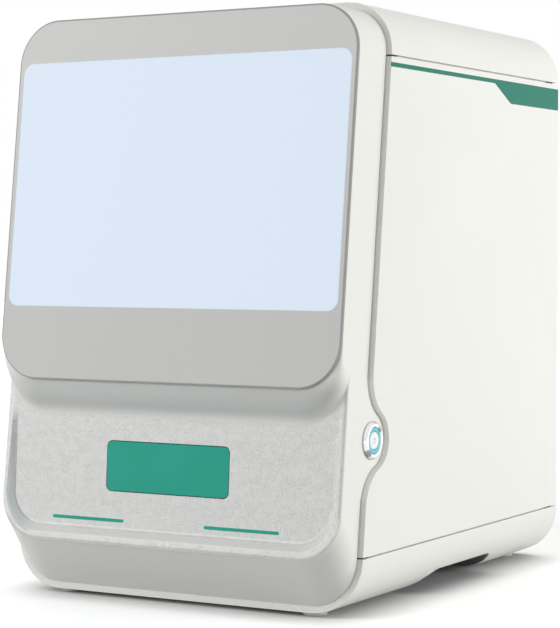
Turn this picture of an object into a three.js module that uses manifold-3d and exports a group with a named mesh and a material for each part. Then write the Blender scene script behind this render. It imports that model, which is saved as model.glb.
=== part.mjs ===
import * as THREE from 'three';
import { mergeVertices } from 'three/addons/utils/BufferGeometryUtils.js';
import Module from 'manifold-3d';

const wasm = await Module();
wasm.setup();

// Bench hematology analyzer, in millimetres. X is right as seen from the front, Y runs back, Z is up.
// The sizes below are measured from the foot of the body's leaning front plane, at the base's underside.

// Body shells
const bodyWidth = 285.3;
const bodyHeight = 417.5;
const bodyDepth = 342.6;
const bodyCorner = 37;
const shellWall = 3;
const frontTiltDegrees = 6.96;
const lowerSeamHeight = 39.06;
const upperSeamDrop = 38.44;
const seamGap = 1.3;
const bandWidth = 5.06;
const flangeLap = 3.14;
const flangeDepth = 4;
const fitGap = 0.3;
const cutOverrun = 2;
const rootLap = 1;
const lipThickness = 2;
const lipHeight = 6;
const lipFoot = 8;
const lipSetback = 14;

// Front shell, with depths taken forward from the leaning front plane
const shellSideInset = 3.05;
const shellTopInset = 5.05;
const shellEdgeRound = 5;
const shellCorner = 32;
const skirtFoot = 4.85;
const rimDepth = 29.5;
const lipBottom = 39.5;
const lipRound = 1.2;
const panelDepth = 43.5;
const panelThickness = 2;
const panelBottom = 153.8;
const panelCorner = 32.5;
const coveBottom = 131.5;
const coveCorner = 33;
const coveSweepDegrees = 60;
const shellSkin = 3;
const stripWidth = 4.2;
const stripHeight = 5.2;
const stripCorner = 28.5;
const recessWallRun = 4.5;
const recessWallRise = 3.6;
const recessTopCorner = 0.1;
const fasciaCorner = 25;
const fasciaDepth = 22.6;
const fasciaTiltDegrees = 3.75;
const ridgeWidth = 13;
const ridgeHeight = 13;
const cavityCorner = 20;
const cavityStop = 19;
const cavityRiseShare = 1.3;

// Display behind the glass panel
const screenSideMargin = 4.35;
const screenTopMargin = 31.25;
const screenBottomMargin = 52.2;
const displayEdge = 1;
const displayThickness = 6.5;
const bracketThickness = 1.6;
const bracketMargin = 6;
const bracketWindowMargin = 42;
const bracketCorner = 6;

// Power button on the right flank
const buttonSetback = 22.5;
const buttonHeight = 117.3;
const bulgeRadius = 20.6;
const bulgeFillet = 30;
const tabOverlap = 14;
const tabReach = 12;
const tabGap = 0.5;
const bezelLip = 2.2;
const bezelHeight = 2.7;
const bezelChamfer = 1.4;
const barrelWall = 1.6;
const barrelLength = 24;
const barrelSlack = 0.25;
const capRadius = 6.3;
const capThickness = 2.4;
const ringWidth = 2.3;
const plungerRadius = 4;
const plungerLength = 15;
const capRecess = 0.4;
const buttonSlack = 0.3;
const buttonTravel = 1.5;
const nutWall = 2.45;
const hexSides = 6;
const nutThickness = 4;
const nutMargin = 1.5;
const switchSlack = 0.6;
const switchLength = 12;

// Cartridge drawer
const doorWidth = 100.3;
const doorBottom = 76.5;
const doorHeight = 34.75;
const doorCorner = 4;
const doorGap = 0.6;
const doorThickness = 3.5;
const trayHalfWidth = 45;
const trayLift = 2.5;
const trayDepth = 17;
const trayTail = 36;
const trayFloor = 3;
const trayWall = 3;
const trayCorner = 3;
const trayShoulder = 10;
const wellLength = 104;
const wellHalfWidth = 38;
const lightHalfWidth = 20;
const lightHalfLength = 14;
const runnerReach = 4.4;
const runnerThickness = 3;
const runnerLift = 1;
const runnerSetback = 12;
const railArm = 2.4;
const railWeb = 3;
const railSlack = 0.4;
const railFrontSetback = 12;
const railTail = 7;
const drawerTravel = 110;

// Rack and pinion
const toothModule = 1.25;
const pinionTeeth = 18;
const pressureDegrees = 20;
const meshBacklash = 0.3;
const rootClearance = 0.35;
const gearFace = 6;
const gearClearance = 2.2;
const rackBack = 1.6;
const pinionSetback = 36;
const pinionHub = 6;
const shaftRadius = 2.5;
const shaftSlack = 0.25;
const rackMargin = 9;

// Chassis deck
const deckDrop = 0.5;
const deckThickness = 3;
const deckHalfWidth = 103;
const deckFront = 10;
const deckRearSetback = 36.6;
const deckFlange = 3;
const deckCorner = 8;
const legNotchHeight = 44;
const legFoot = 46;
const legToGrip = 13;
const motorSize = 42.3;
const motorCorner = 5;
const motorLength = 38;
const motorPilotRadius = 11;

// Optics column
const columnGap = 1;
const columnThickness = 6;
const columnHalfWidth = 72;
const columnHeight = 246;
const columnFoot = 22;
const columnCorner = 10;
const columnWindowShare = 0.34;
const carriageLift = 54;
const carriageHeight = 40;
const carriageThickness = 18;
const armHalfWidth = 17;
const armCornerShare = 0.94;
const armThickness = 14;
const opticsSetback = 84;
const guideWidth = 9;
const guideDepth = 6;
const guideLength = 110;
const guideSpacing = 30;
const screwRadius = 3;
const screwLength = 96;
const screwSlack = 0.35;
const screwForward = 9;
const bearingHalfWidth = 15;
const bearingDepth = 20;
const bearingHeight = 10;
const focusMotorSize = 28;
const focusMotorLength = 30;
const objectiveRadius = 12;
const objectiveTip = 5;
const objectiveLength = 40;
const objectiveNose = 14;
const tubeRadius = 14;
const tubeLength = 58;
const tubeFlange = 18;
const tubeFlangeHeight = 5;
const cameraSize = 36;
const cameraLength = 32;
const cameraCorner = 4;
const lampRadius = 9;
const lampLength = 12;

// Electronics
const boardThickness = 1.6;
const boardHalfWidth = 62;
const boardHeight = 150;
const boardLift = 30;
const standoffRadius = 3;
const standoffLength = 9;
const standoffInset = 7;
const chipSize = 22;
const chipHeight = 3;
const chipAcrossShare = 1.4;
const chipUpShare = 2;
const supplyWidth = 88;
const supplyDepth = 118;
const supplyHeight = 40;
const supplyRearSetback = 48.6;
const supplyCorner = 3;

// Rear panel
const rearRecess = 2.4;
const rearThickness = 2.5;
const fanSize = 80;
const fanDepth = 25;
const fanAcrossShare = 0.435;
const fanDrop = 117.5;
const fanRim = 2.5;
const fanCorner = 5;
const hubRadius = 17;
const bladeCount = 7;
const bladeGap = 2;
const bladeThickness = 1.8;
const bladeTwistDegrees = 34;
const spiderArm = 4;
const spiderDepth = 3;
const rotorGap = 1;
const rotorSetback = 2.5;
const guardWire = 2;
const guardRings = 3;
const guardThickness = 1.6;
const ventSlotWidth = 34;
const ventSlotHeight = 4;
const ventPitch = 9;
const ventRows = 10;
const ventAcrossShare = 0.45;
const inletWidth = 50;
const inletHeight = 29;
const inletAcrossShare = 0.49;
const inletCentreZ = 96;
const inletDepth = 26;
const inletFlange = 5;
const inletMouthWidth = 27;
const inletMouthHeight = 19.5;
const inletMouthDepth = 17;
const inletChamferShare = 0.26;
const pinWidth = 4;
const pinThickness = 2;
const pinLength = 14;
const rockerWidth = 13;
const rockerHeight = 20;
const rockerDepth = 8;
const rockerGap = 0.8;
const rockerRaise = 1.2;
const rockerTiltDegrees = 8;
const rockerPivotRadius = 1.5;
const rockerPinReach = 1;
const switchSpacing = 14.5;
const switchFrame = 4;
const switchDepth = 20;
const portAcrossShare = 0.435;
const portCentreZ = 96;
const portSpacing = 26;
const usbWidth = 15;
const usbHeight = 16.5;
const lanWidth = 16.5;
const portDepth = 18;
const portMouthDepth = 10;
const portWall = 1.4;

// Feet and hand recesses
const footHeight = 3;
const footRadius = 8.5;
const footSideInset = 40.65;
const footFrontInset = 12;
const footRearInset = 17.6;
const gripAhead = 53.3;
const gripRamp = 22;
const gripRun = 87;
const gripTail = 12;
const gripTailShare = 0.6;
const gripHeight = 14;
const gripReach = 55.35;
const linerWall = 1.2;

// Rounding: half the segments of one outline arc, the segments of a full turn, and finer steps
const cornerSteps = 4;
const smallSteps = 1;
const roundSteps = 32;
const discSteps = 12;
const bevelSteps = 3;
const coveSteps = 6;
const flankSteps = 2;

const halfBody = bodyWidth / 2;
const flangeWidth = bandWidth + flangeLap;
const shellEdgeTuck = bandWidth - shellSideInset;
const radians = THREE.MathUtils.degToRad;
const lean = Math.tan(radians(frontTiltDegrees));
const fasciaLean = Math.tan(radians(fasciaTiltDegrees));
const lowerSeam = lowerSeamHeight;
const upperSeam = bodyHeight - upperSeamDrop;
const gripStart = bodyDepth / 2 - gripAhead;
const gripFull = gripStart + gripRamp + gripRun;
const gripEnd = gripFull + gripTail;
const gripInnerX = halfBody - gripReach;
const footX = halfBody - footSideInset;
const footRearY = bodyDepth - footRearInset;
const barrelBore = capRadius + ringWidth + buttonSlack * 2;
const barrelRadius = barrelBore + barrelWall;
const bezelRadius = barrelRadius + bezelLip;
const nutAcrossFlats = (barrelRadius + barrelSlack + nutWall) * 2;
const doorTop = doorBottom + doorHeight;
const deckTop = doorBottom - deckDrop;
const deckRear = bodyDepth - deckRearSetback;
const trayBottom = doorBottom + trayLift;
const trayTop = trayBottom + trayDepth;
const carriageBottom = trayTop + carriageLift;
const fanBore = fanSize / 2 - fanRim;
const bladeRadius = fanBore - bladeGap;
const fanCentreX = -halfBody * fanAcrossShare;
const fanCentreZ = bodyHeight - fanDrop;
const ventCentreX = halfBody * ventAcrossShare;
const ventBase = fanCentreZ - ((ventRows - 1) * ventPitch) / 2;
const inletCentreX = -halfBody * inletAcrossShare;
const rockerCentreX = inletCentreX + inletWidth / 2 + switchSpacing + rockerWidth / 2 + switchFrame;
const portCentreX = halfBody * portAcrossShare;

// Materials

const finish = (color, roughness, metalness = 0) => ({ color, roughness, metalness });
const whiteCase = finish(0xf0f1ec, 0.45);
const greyCase = finish(0xd5d5d3, 0.6);
const panelGrey = finish(0xc6c7c4, 0.12);
const screenBlue = finish(0xdce8f6, 0.2);
const teal = finish(0x36a08b, 0.4);
const chrome = finish(0xd8dadb, 0.12, 1);
const cyan = finish(0x6ec5d0, 0.35);
const satinSteel = finish(0xb9bcbd, 0.35, 1);
const darkPlastic = finish(0x3a3a3a, 0.55);
const blackMetal = finish(0x26282a, 0.45, 0.6);
const rubber = finish(0xdadad6, 0.85);
const brass = finish(0xc9a45a, 0.3, 1);
const boardGreen = finish(0x1f6a46, 0.5);

// Solids: a closed geometry to and from the boolean library

function toSolid(geometry) {
  const bare = geometry.clone();
  bare.deleteAttribute('normal');
  bare.deleteAttribute('uv');
  const merged = mergeVertices(bare);
  const index = merged.index.array;
  const triangles = [];
  for (let i = 0; i < index.length; i += 3) {
    const [a, b, c] = [index[i], index[i + 1], index[i + 2]];
    if (a !== b && b !== c && c !== a) triangles.push(a, b, c);
  }
  return new wasm.Manifold(new wasm.Mesh({
    numProp: 3,
    vertProperties: new Float32Array(merged.attributes.position.array),
    triVerts: new Uint32Array(triangles),
  }));
}

function toGeometry(solid) {
  const mesh = solid.getMesh();
  const geometry = new THREE.BufferGeometry();
  const points = new Float32Array(mesh.vertProperties);
  geometry.setAttribute('position', new THREE.BufferAttribute(points, mesh.numProp));
  geometry.setIndex(new THREE.BufferAttribute(new Uint32Array(mesh.triVerts), 1));
  const plain = geometry.toNonIndexed();
  plain.computeVertexNormals();
  return plain;
}

const joined = (first, ...rest) => rest.reduce((sum, next) => sum.add(next), first);
const cut = (first, ...rest) => rest.reduce((left, next) => left.subtract(next), first);

// Outlines

function roundedRect(left, right, bottom, top, radius, topRadius = radius) {
  const shape = new THREE.Shape();
  const quarter = Math.PI / 2;
  shape.moveTo(left + radius, bottom);
  shape.absarc(right - radius, bottom + radius, radius, -quarter, 0, false);
  shape.absarc(right - topRadius, top - topRadius, topRadius, 0, quarter, false);
  shape.absarc(left + topRadius, top - topRadius, topRadius, quarter, Math.PI, false);
  shape.absarc(left + radius, bottom + radius, radius, Math.PI, Math.PI + quarter, false);
  return shape;
}

function rectangle(left, right, bottom, top) {
  return polygon([[left, bottom], [right, bottom], [right, top], [left, top]]);
}

function polygon(points) {
  return new THREE.Shape(points.map(([x, y]) => new THREE.Vector2(x, y)));
}

function disc(x, y, radius) {
  const shape = new THREE.Shape();
  shape.absarc(x, y, radius, 0, Math.PI * 2, false);
  return shape;
}

// Prisms: an outline carried along one axis, from its low end to its high end

function carried(shape, length, steps) {
  const options = { depth: length, bevelEnabled: false, curveSegments: steps };
  return new THREE.ExtrudeGeometry(shape, options);
}

function alongY(shape, front, rear, steps = cornerSteps) {
  const geometry = carried(shape, rear - front, steps);
  return geometry.rotateX(Math.PI / 2).translate(0, rear, 0);
}

function alongX(shape, low, high, steps = cornerSteps) {
  const turn = new THREE.Matrix4().makeBasis(
    new THREE.Vector3(0, 1, 0),
    new THREE.Vector3(0, 0, 1),
    new THREE.Vector3(1, 0, 0),
  );
  return carried(shape, high - low, steps).applyMatrix4(turn).translate(low, 0, 0);
}

function alongZ(shape, low, high, steps = cornerSteps) {
  return carried(shape, high - low, steps).translate(0, 0, low);
}

function block(x0, x1, y0, y1, z0, z1) {
  return new THREE.BoxGeometry(x1 - x0, y1 - y0, z1 - z0)
    .translate((x0 + x1) / 2, (y0 + y1) / 2, (z0 + z1) / 2);
}

function rodZ(x, y, low, high, radius, steps = roundSteps) {
  return new THREE.CylinderGeometry(radius, radius, high - low, steps)
    .rotateX(Math.PI / 2)
    .translate(x, y, (low + high) / 2);
}

function rodY(x, z, front, rear, radius, steps = roundSteps) {
  return new THREE.CylinderGeometry(radius, radius, rear - front, steps)
    .translate(x, (front + rear) / 2, z);
}

function rodX(y, z, low, high, radius, steps = roundSteps) {
  return new THREE.CylinderGeometry(radius, radius, high - low, steps)
    .rotateZ(Math.PI / 2)
    .translate((low + high) / 2, y, z);
}

function turned(profile, steps = roundSteps) {
  return new THREE.LatheGeometry(profile.map(([r, h]) => new THREE.Vector2(r, h)), steps);
}

// Moves each point back by the lean, so that an upright front face lies in the leaning plane
function leaned(geometry, slope = lean) {
  return geometry.applyMatrix4(new THREE.Matrix4().makeShear(0, 0, 0, 0, 0, slope));
}

// A skin through rounded outlines that stand one behind the other, closed by its first and last
function lofted(stations) {
  const rings = stations.map(({ y, half, bottom, top, corner, topCorner }) => {
    const shape = roundedRect(-half, half, bottom, top, corner, topCorner ?? corner);
    const ring = shape.getPoints(cornerSteps);
    return ring.filter((p, i) => i === 0 || !p.equals(ring[0])).map((p) => ({ x: p.x, y, z: p.y }));
  });
  const count = rings[0].length;
  const positions = rings.flat().flatMap(({ x, y, z }) => [x, y, z]);
  const index = [];
  for (let k = 0; k + 1 < rings.length; k++) {
    for (let i = 0; i < count; i++) {
      const j = (i + 1) % count;
      const [a, b, c, d] = [k * count + i, k * count + j, (k + 1) * count + j, (k + 1) * count + i];
      index.push(a, b, c, a, c, d);
    }
  }
  const flat = rings[0].map((p) => new THREE.Vector2(p.x, p.z));
  const last = (rings.length - 1) * count;
  for (const [a, b, c] of THREE.ShapeUtils.triangulateShape(flat, [])) {
    index.push(c, b, a);
    index.push(last + a, last + b, last + c);
  }
  const geometry = new THREE.BufferGeometry();
  geometry.setAttribute('position', new THREE.Float32BufferAttribute(positions, 3));
  geometry.setIndex(index);
  return geometry;
}

// The assembly, set on its feet with the middle of its footprint at the origin
const panelFront = -panelDepth + lean * panelBottom;
const lipFront = -rimDepth + lean * lipBottom;
const foremost = Math.min(panelFront, lipFront);
const analyzer = new THREE.Group();
analyzer.position.set(0, -(foremost + bodyDepth) / 2, footHeight);

function place(name, shape, look) {
  const geometry = shape.isBufferGeometry ? shape : toGeometry(shape);
  const mesh = new THREE.Mesh(geometry, new THREE.MeshStandardMaterial(look));
  mesh.name = name;
  analyzer.add(mesh);
  return mesh;
}

// Body shells

// The body's rounded outline carried from the leaning front plane to the upright rear plane
function bodyPrism(inset, frontSetback, rearSetback) {
  const outline = roundedRect(
    -halfBody + inset,
    halfBody - inset,
    inset,
    bodyHeight - inset,
    bodyCorner - inset,
  );
  const rear = bodyDepth - rearSetback;
  const geometry = alongY(outline, frontSetback, rear);
  const points = geometry.attributes.position;
  for (let i = 0; i < points.count; i++) {
    const share = (rear - points.getY(i)) / (rear - frontSetback);
    points.setY(i, points.getY(i) + lean * points.getZ(i) * share);
  }
  return geometry;
}

// The flank's front edge, from low to high: straight, or swept back round the power button
function flankEdge(low, high, setback, bulged) {
  const onPlane = (z) => [lean * z + setback, z];
  if (!bulged) return [onPlane(low), onPlane(high)];
  const tilt = radians(frontTiltDegrees);
  const along = new THREE.Vector2(Math.sin(tilt), Math.cos(tilt));
  const behind = new THREE.Vector2(Math.cos(tilt), -Math.sin(tilt));
  const centre = new THREE.Vector2(buttonSetback, buttonHeight);
  const depth = (buttonSetback - lean * buttonHeight) * Math.cos(tilt);
  const span = bulgeRadius + bulgeFillet;
  const rise = Math.sqrt(span ** 2 - (bulgeFillet - depth) ** 2);
  const turn = Math.atan2(bulgeFillet - depth, rise);
  const at = (back, up) => centre.clone().addScaledVector(behind, back).addScaledVector(along, up);
  const fillet = (side) => {
    const points = [];
    for (let i = 0; i <= coveSteps; i++) {
      const angle = turn + (Math.PI / 2 - turn) * (1 - i / coveSteps);
      const back = bulgeFillet - depth - bulgeFillet * Math.sin(angle);
      points.push(at(back, side * (rise - bulgeFillet * Math.cos(angle))));
    }
    return points;
  };
  const arc = [];
  for (let i = 1; i < roundSteps / 2; i++) {
    const angle = turn + (Math.PI - 2 * turn) * (i / (roundSteps / 2));
    arc.push(at(bulgeRadius * Math.sin(angle), -bulgeRadius * Math.cos(angle)));
  }
  const curve = [...fillet(-1), ...arc, ...fillet(1).reverse()];
  return [onPlane(low), ...curve.map((p) => [p.x + setback, p.y]), onPlane(high)];
}

function sidePanel(side, bulged) {
  const low = lowerSeam + seamGap / 2;
  const high = upperSeam - seamGap / 2;
  const edge = flankEdge(low, high, 0, bulged);
  const wall = polygon([...edge, [bodyDepth, high], [bodyDepth, low]].reverse());
  const inner = flankEdge(low, high, flangeDepth, bulged).reverse();
  const flange = polygon([...edge, ...inner].reverse());
  const x = (inset) => side * (halfBody - inset);
  const between = (shape, insetA, insetB) => {
    const [left, right] = [x(insetA), x(insetB)].sort((a, b) => a - b);
    return toSolid(alongX(shape, left, right));
  };
  return joined(between(wall, 0, shellWall), between(flange, 0, flangeWidth));
}

function hollowBody() {
  const inner = bodyPrism(shellWall, flangeDepth, -cutOverrun);
  const mouth = bodyPrism(flangeWidth, -cutOverrun, -cutOverrun);
  return cut(toSolid(bodyPrism(0, 0, 0)), toSolid(inner), toSolid(mouth));
}

// The tongue inside a seam, which the side panel's edge stands in front of
function seamTongue(side, seam, way) {
  const face = halfBody - shellWall - fitGap;
  const y0 = lean * seam + lipSetback;
  const y1 = bodyDepth - rearRecess - rearThickness - lipSetback;
  const z = (a, b) => [seam + way * a, seam + way * b].sort((p, q) => p - q);
  const x = (a, b) => [side * a, side * b].sort((p, q) => p - q);
  const tongue = block(...x(face - lipThickness, face), y0, y1, ...z(-lipFoot, lipHeight));
  const root = block(
    ...x(face - lipThickness, halfBody - shellWall / 2),
    y0,
    y1,
    ...z(-lipFoot, -seamGap / 2 - fitGap),
  );
  return toSolid(tongue).add(toSolid(root));
}

// The hand recess in the base's lower edge: a ramp at its front end and a steep round rear end
function gripOutline(offset) {
  const rearLow = gripEnd + offset;
  const rearHigh = gripFull + offset;
  const shape = new THREE.Shape();
  shape.moveTo(gripStart - offset, -cutOverrun);
  shape.lineTo(gripStart - offset, 0);
  shape.quadraticCurveTo(
    gripStart + gripRamp / 2 - offset,
    gripHeight + offset,
    gripStart + gripRamp - offset,
    gripHeight + offset,
  );
  shape.lineTo(rearHigh, gripHeight + offset);
  const bend = rearHigh + gripTail * gripTailShare;
  shape.quadraticCurveTo(bend, gripHeight + offset, rearLow, 0);
  shape.lineTo(rearLow, -cutOverrun);
  return shape;
}

function gripCut(side) {
  const reach = halfBody + cutOverrun;
  const low = side > 0 ? gripInnerX : -reach;
  const high = side > 0 ? reach : -gripInnerX;
  return toSolid(alongX(gripOutline(0), low, high));
}

const frontCurtain = -bodyDepth;
const wholeSpan = [-bodyWidth, bodyWidth, frontCurtain, bodyDepth * 2];

function buildBaseShell() {
  const slab = toSolid(block(...wholeSpan, -cutOverrun, lowerSeam - seamGap / 2));
  const shell = hollowBody().intersect(slab);
  const tongues = [-1, 1].map((side) => seamTongue(side, lowerSeam, 1));
  return cut(joined(shell, ...tongues), gripCut(-1), gripCut(1));
}

function buildTopCover() {
  const slab = toSolid(block(...wholeSpan, upperSeam + seamGap / 2, bodyHeight + cutOverrun));
  const shell = hollowBody().intersect(slab);
  const tongues = [-1, 1].map((side) => seamTongue(side, upperSeam, -1));
  return joined(shell, ...tongues);
}

place('base_shell', buildBaseShell(), whiteCase);
place('left_side_panel', sidePanel(-1, false), whiteCase);
place('right_side_panel', sidePanel(1, true), whiteCase);
place('top_cover', buildTopCover(), whiteCase);

// The dark lining of a hand recess: it slopes up and outward, and closes the recess's rear end
function gripLiner() {
  const at = (inset) => Math.sqrt((bodyCorner - inset) ** 2 - (bodyCorner - gripHeight) ** 2);
  const outerX = halfBody - bodyCorner + at(shellWall) - fitGap;
  const innerX = gripInnerX + fitGap;
  const outerZ = gripHeight - fitGap - linerWall;
  const slope = (outerZ - fitGap) / (outerX - innerX);
  const underSlope = (lift) => {
    const wedge = polygon([
      [innerX, -cutOverrun],
      [halfBody, -cutOverrun],
      [halfBody, fitGap + lift + slope * (halfBody - innerX)],
      [innerX, fitGap + lift],
    ]);
    return toSolid(alongY(wedge, 0, bodyDepth));
  };
  const within = (offset) => toSolid(alongX(gripOutline(offset), innerX, halfBody));
  const endFace = gripFull - fitGap - linerWall;
  const solid = within(-fitGap).intersect(underSlope(linerWall)).intersect(toSolid(bodyPrism(fitGap, 0, 0)));
  const hollow = within(-fitGap - linerWall).intersect(underSlope(0));
  const below = block(...wholeSpan, -bodyHeight, fitGap);
  const outer = block(outerX, bodyWidth, 0, endFace, -cutOverrun, gripHeight);
  return cut(solid, hollow, toSolid(below), toSolid(outer));
}
const rightLiner = gripLiner();
place('left_grip_liner', rightLiner.mirror([1, 0, 0]), darkPlastic);
place('right_grip_liner', rightLiner, darkPlastic);

function buildFoot(x, y) {
  const chamfer = footHeight / 4;
  const profile = [
    [0, -footHeight],
    [footRadius - chamfer, -footHeight],
    [footRadius, -footHeight + chamfer],
    [footRadius, -fitGap],
    [0, -fitGap],
  ];
  return turned(profile, roundSteps / 2).rotateX(Math.PI / 2).translate(x, y, 0);
}
for (const [name, x, y] of [
  ['foot_front_left', -footX, footFrontInset],
  ['foot_front_right', footX, footFrontInset],
  ['foot_rear_left', -footX, footRearY],
  ['foot_rear_right', footX, footRearY],
]) {
  place(name, toSolid(buildFoot(x, y)), rubber);
}

// Front shell

const shellHalf = halfBody - shellSideInset;
const shellTop = bodyHeight - shellTopInset;
const rearFace = -fitGap;
const slabBack = -panelDepth + panelThickness + fitGap;

const station = (y, half, bottom, corner, top = shellTop) => ({
  y,
  half,
  bottom,
  top,
  corner,
  topCorner: shellCorner,
});

// The skirt's height above the base at a depth in front of the body
const skirtAt = (y) => skirtFoot + ((lipBottom - skirtFoot) * (y - rearFace)) / (-rimDepth - rearFace);

function lowerShell() {
  const stations = [];
  for (let i = bevelSteps; i >= 0; i--) {
    const angle = (Math.PI / 2) * (i / bevelSteps);
    const y = rearFace - shellEdgeRound * (1 - Math.sin(angle));
    const tuck = shellEdgeTuck * (1 - Math.cos(angle));
    stations.push(station(y, shellHalf - tuck, skirtAt(y), shellCorner));
  }
  const lipBack = -rimDepth + lipRound;
  stations.push(station(lipBack, shellHalf, skirtAt(lipBack), shellCorner));
  stations.push(station(-rimDepth, shellHalf - lipRound, lipBottom, shellCorner));
  return toSolid(leaned(lofted(stations)));
}

// The cove under the panel: its underside swings back from upright at the panel to the rim
function coveStations(skin) {
  const sweep = radians(coveSweepDegrees);
  const reach = -rimDepth - slabBack;
  const fall = panelBottom - coveBottom;
  const stations = [];
  for (let i = coveSteps; i >= 0; i--) {
    const angle = sweep * (i / coveSteps);
    const forward = (Math.cos(angle) - Math.cos(sweep)) / (1 - Math.cos(sweep));
    const down = Math.sin(angle) / Math.sin(sweep);
    const corner = THREE.MathUtils.lerp(panelCorner, coveCorner, down);
    const y = -rimDepth - reach * forward + skin;
    const bottom = panelBottom - fall * down + skin;
    stations.push(station(y, shellHalf - skin, bottom, corner, shellTop - skin));
  }
  return stations;
}

function upperShell() {
  const stations = coveStations(0);
  const root = { ...stations[0], y: -rimDepth + lipRound };
  return toSolid(leaned(lofted([root, ...stations])));
}

// The recess that frames the lower fascia, with sloped walls down to a plane of its own tilt
function fasciaRecess() {
  const wallDepth = -rimDepth + recessWallRun;
  const rimStation = station(
    -rimDepth,
    shellHalf - lipRound - stripWidth,
    lipBottom + stripHeight,
    stripCorner,
    coveBottom,
  );
  rimStation.topCorner = recessTopCorner;
  const deepStation = {
    ...rimStation,
    y: wallDepth,
    half: rimStation.half - recessWallRun,
    bottom: rimStation.bottom + recessWallRise,
    corner: fasciaCorner,
  };
  const mouthStation = { ...rimStation, y: -rimDepth - fitGap };
  const pocket = toSolid(leaned(lofted([deepStation, rimStation, mouthStation])));
  return pocket.intersect(aheadOfFascia(0));
}

// Everything in front of the fascia plane, moved back by a given amount
function aheadOfFascia(back) {
  const shape = polygon([
    [-fasciaDepth + back, 0],
    [-fasciaDepth + back + fasciaLean * bodyHeight, bodyHeight],
    [-fasciaDepth - bodyDepth, bodyHeight],
    [-fasciaDepth - bodyDepth, 0],
  ]);
  return toSolid(alongX(shape, -bodyWidth, bodyWidth));
}

function shellCavity() {
  const rise = shellSkin * cavityRiseShare;
  const inner = shellHalf - shellSkin;
  const top = shellTop - shellSkin;
  const back = station(cutOverrun, inner - shellEdgeTuck, skirtAt(0) + rise, shellCorner, top);
  const rear = station(-shellEdgeRound, inner, skirtAt(-shellEdgeRound) + rise, shellCorner, top);
  const stop = station(-cavityStop, inner, skirtAt(-cavityStop) + rise, shellCorner, top);
  const chamber = toSolid(leaned(lofted([back, rear, stop])));
  const belly = alongY(
    roundedRect(
      -shellHalf + ridgeWidth,
      shellHalf - ridgeWidth,
      lipBottom + ridgeHeight,
      coveBottom + ridgeHeight,
      cavityCorner,
    ),
    -panelDepth,
    0,
  );
  const behind = cut(toSolid(leaned(belly)), aheadOfFascia(shellSkin));
  const upper = coveStations(shellSkin);
  const root = { ...upper[0], y: -cavityStop + cutOverrun };
  const head = toSolid(leaned(lofted([root, ...upper])));
  return joined(chamber, behind, head);
}

// The flank tab that carries the power button back into the side panel's curve
function buttonTab() {
  const reach = bulgeRadius + bulgeFillet + tabReach;
  const low = buttonHeight - reach;
  const high = buttonHeight + reach;
  const rear = flankEdge(low, high, -tabGap, true);
  const front = [[lean * high - tabOverlap, high], [lean * low - tabOverlap, low]];
  const shape = polygon([...rear, ...front].reverse());
  const tab = new THREE.ExtrudeGeometry(shape, {
    depth: shellSkin - shellEdgeTuck,
    bevelThickness: shellEdgeTuck,
    bevelSize: shellEdgeRound,
    bevelOffset: -shellEdgeRound,
    bevelSegments: bevelSteps,
  });
  const turn = new THREE.Matrix4().makeBasis(
    new THREE.Vector3(0, 1, 0),
    new THREE.Vector3(0, 0, 1),
    new THREE.Vector3(1, 0, 0),
  );
  const innerX = shellHalf - shellSkin;
  const solid = toSolid(tab.applyMatrix4(turn).translate(innerX, 0, 0));
  return solid.intersect(toSolid(block(innerX, bodyWidth, -bodyDepth, bodyDepth, 0, bodyHeight)));
}

function doorOpening() {
  const half = doorWidth / 2 + doorGap;
  const outline = roundedRect(
    -half,
    half,
    doorBottom - doorGap,
    doorTop + doorGap,
    doorCorner + doorGap,
  );
  return toSolid(alongY(outline, -panelDepth, bodyDepth / 2));
}

const displayHalf = shellHalf - screenSideMargin + displayEdge;
const displayLow = panelBottom + screenBottomMargin - displayEdge;
const displayHigh = shellTop - screenTopMargin + displayEdge;
const displayBack = slabBack + displayThickness;

function displayWindow() {
  const outline = rectangle(
    -displayHalf - fitGap,
    displayHalf + fitGap,
    displayLow - fitGap,
    displayHigh + fitGap,
  );
  return toSolid(leaned(alongY(outline, -panelDepth - cutOverrun, displayBack + fitGap)));
}

function buildFrontShell() {
  const skin = cut(joined(lowerShell(), upperShell()), shellCavity());
  const barrelHole = rodX(
    buttonSetback,
    buttonHeight,
    0,
    bodyWidth,
    barrelRadius + barrelSlack,
  );
  const nutPocket = rodX(
    buttonSetback,
    buttonHeight,
    0,
    shellHalf - shellSkin,
    nutAcrossFlats / Math.sqrt(3) + nutMargin,
  );
  const openings = [fasciaRecess(), doorOpening(), displayWindow()];
  return cut(skin.add(buttonTab()), ...openings, toSolid(barrelHole), toSolid(nutPocket));
}
place('front_shell', buildFrontShell(), greyCase);

// Glass panel and display

function buildGlass() {
  const outline = roundedRect(-shellHalf, shellHalf, panelBottom, shellTop, panelCorner, shellCorner);
  return toSolid(leaned(alongY(outline, -panelDepth, -panelDepth + panelThickness)));
}

function buildDisplay() {
  const outline = rectangle(-displayHalf, displayHalf, displayLow, displayHigh);
  return toSolid(leaned(alongY(outline, slabBack, displayBack)));
}

// A flat frame behind the display, held in the shell's upper chamber
function buildBracket() {
  const half = shellHalf - lipRound - shellSkin - fitGap;
  const outline = roundedRect(
    -half,
    half,
    displayLow - bracketMargin,
    displayHigh + bracketMargin,
    bracketCorner,
    shellCorner,
  );
  const window = roundedRect(
    -half + bracketWindowMargin,
    half - bracketWindowMargin,
    displayLow + bracketWindowMargin,
    displayHigh - bracketWindowMargin,
    bracketCorner,
  );
  outline.holes.push(window);
  const front = displayBack + fitGap;
  return toSolid(leaned(alongY(outline, front, front + bracketThickness)));
}

place('screen_glass', buildGlass(), panelGrey);
place('display_module', buildDisplay(), screenBlue);
place('display_bracket', buildBracket(), satinSteel);

// Power button

// Turns a revolved piece so that its axis runs outward through the button's place
const onButtonAxis = (geometry) => geometry
  .rotateZ(-Math.PI / 2)
  .translate(shellHalf, buttonSetback, buttonHeight);

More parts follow.
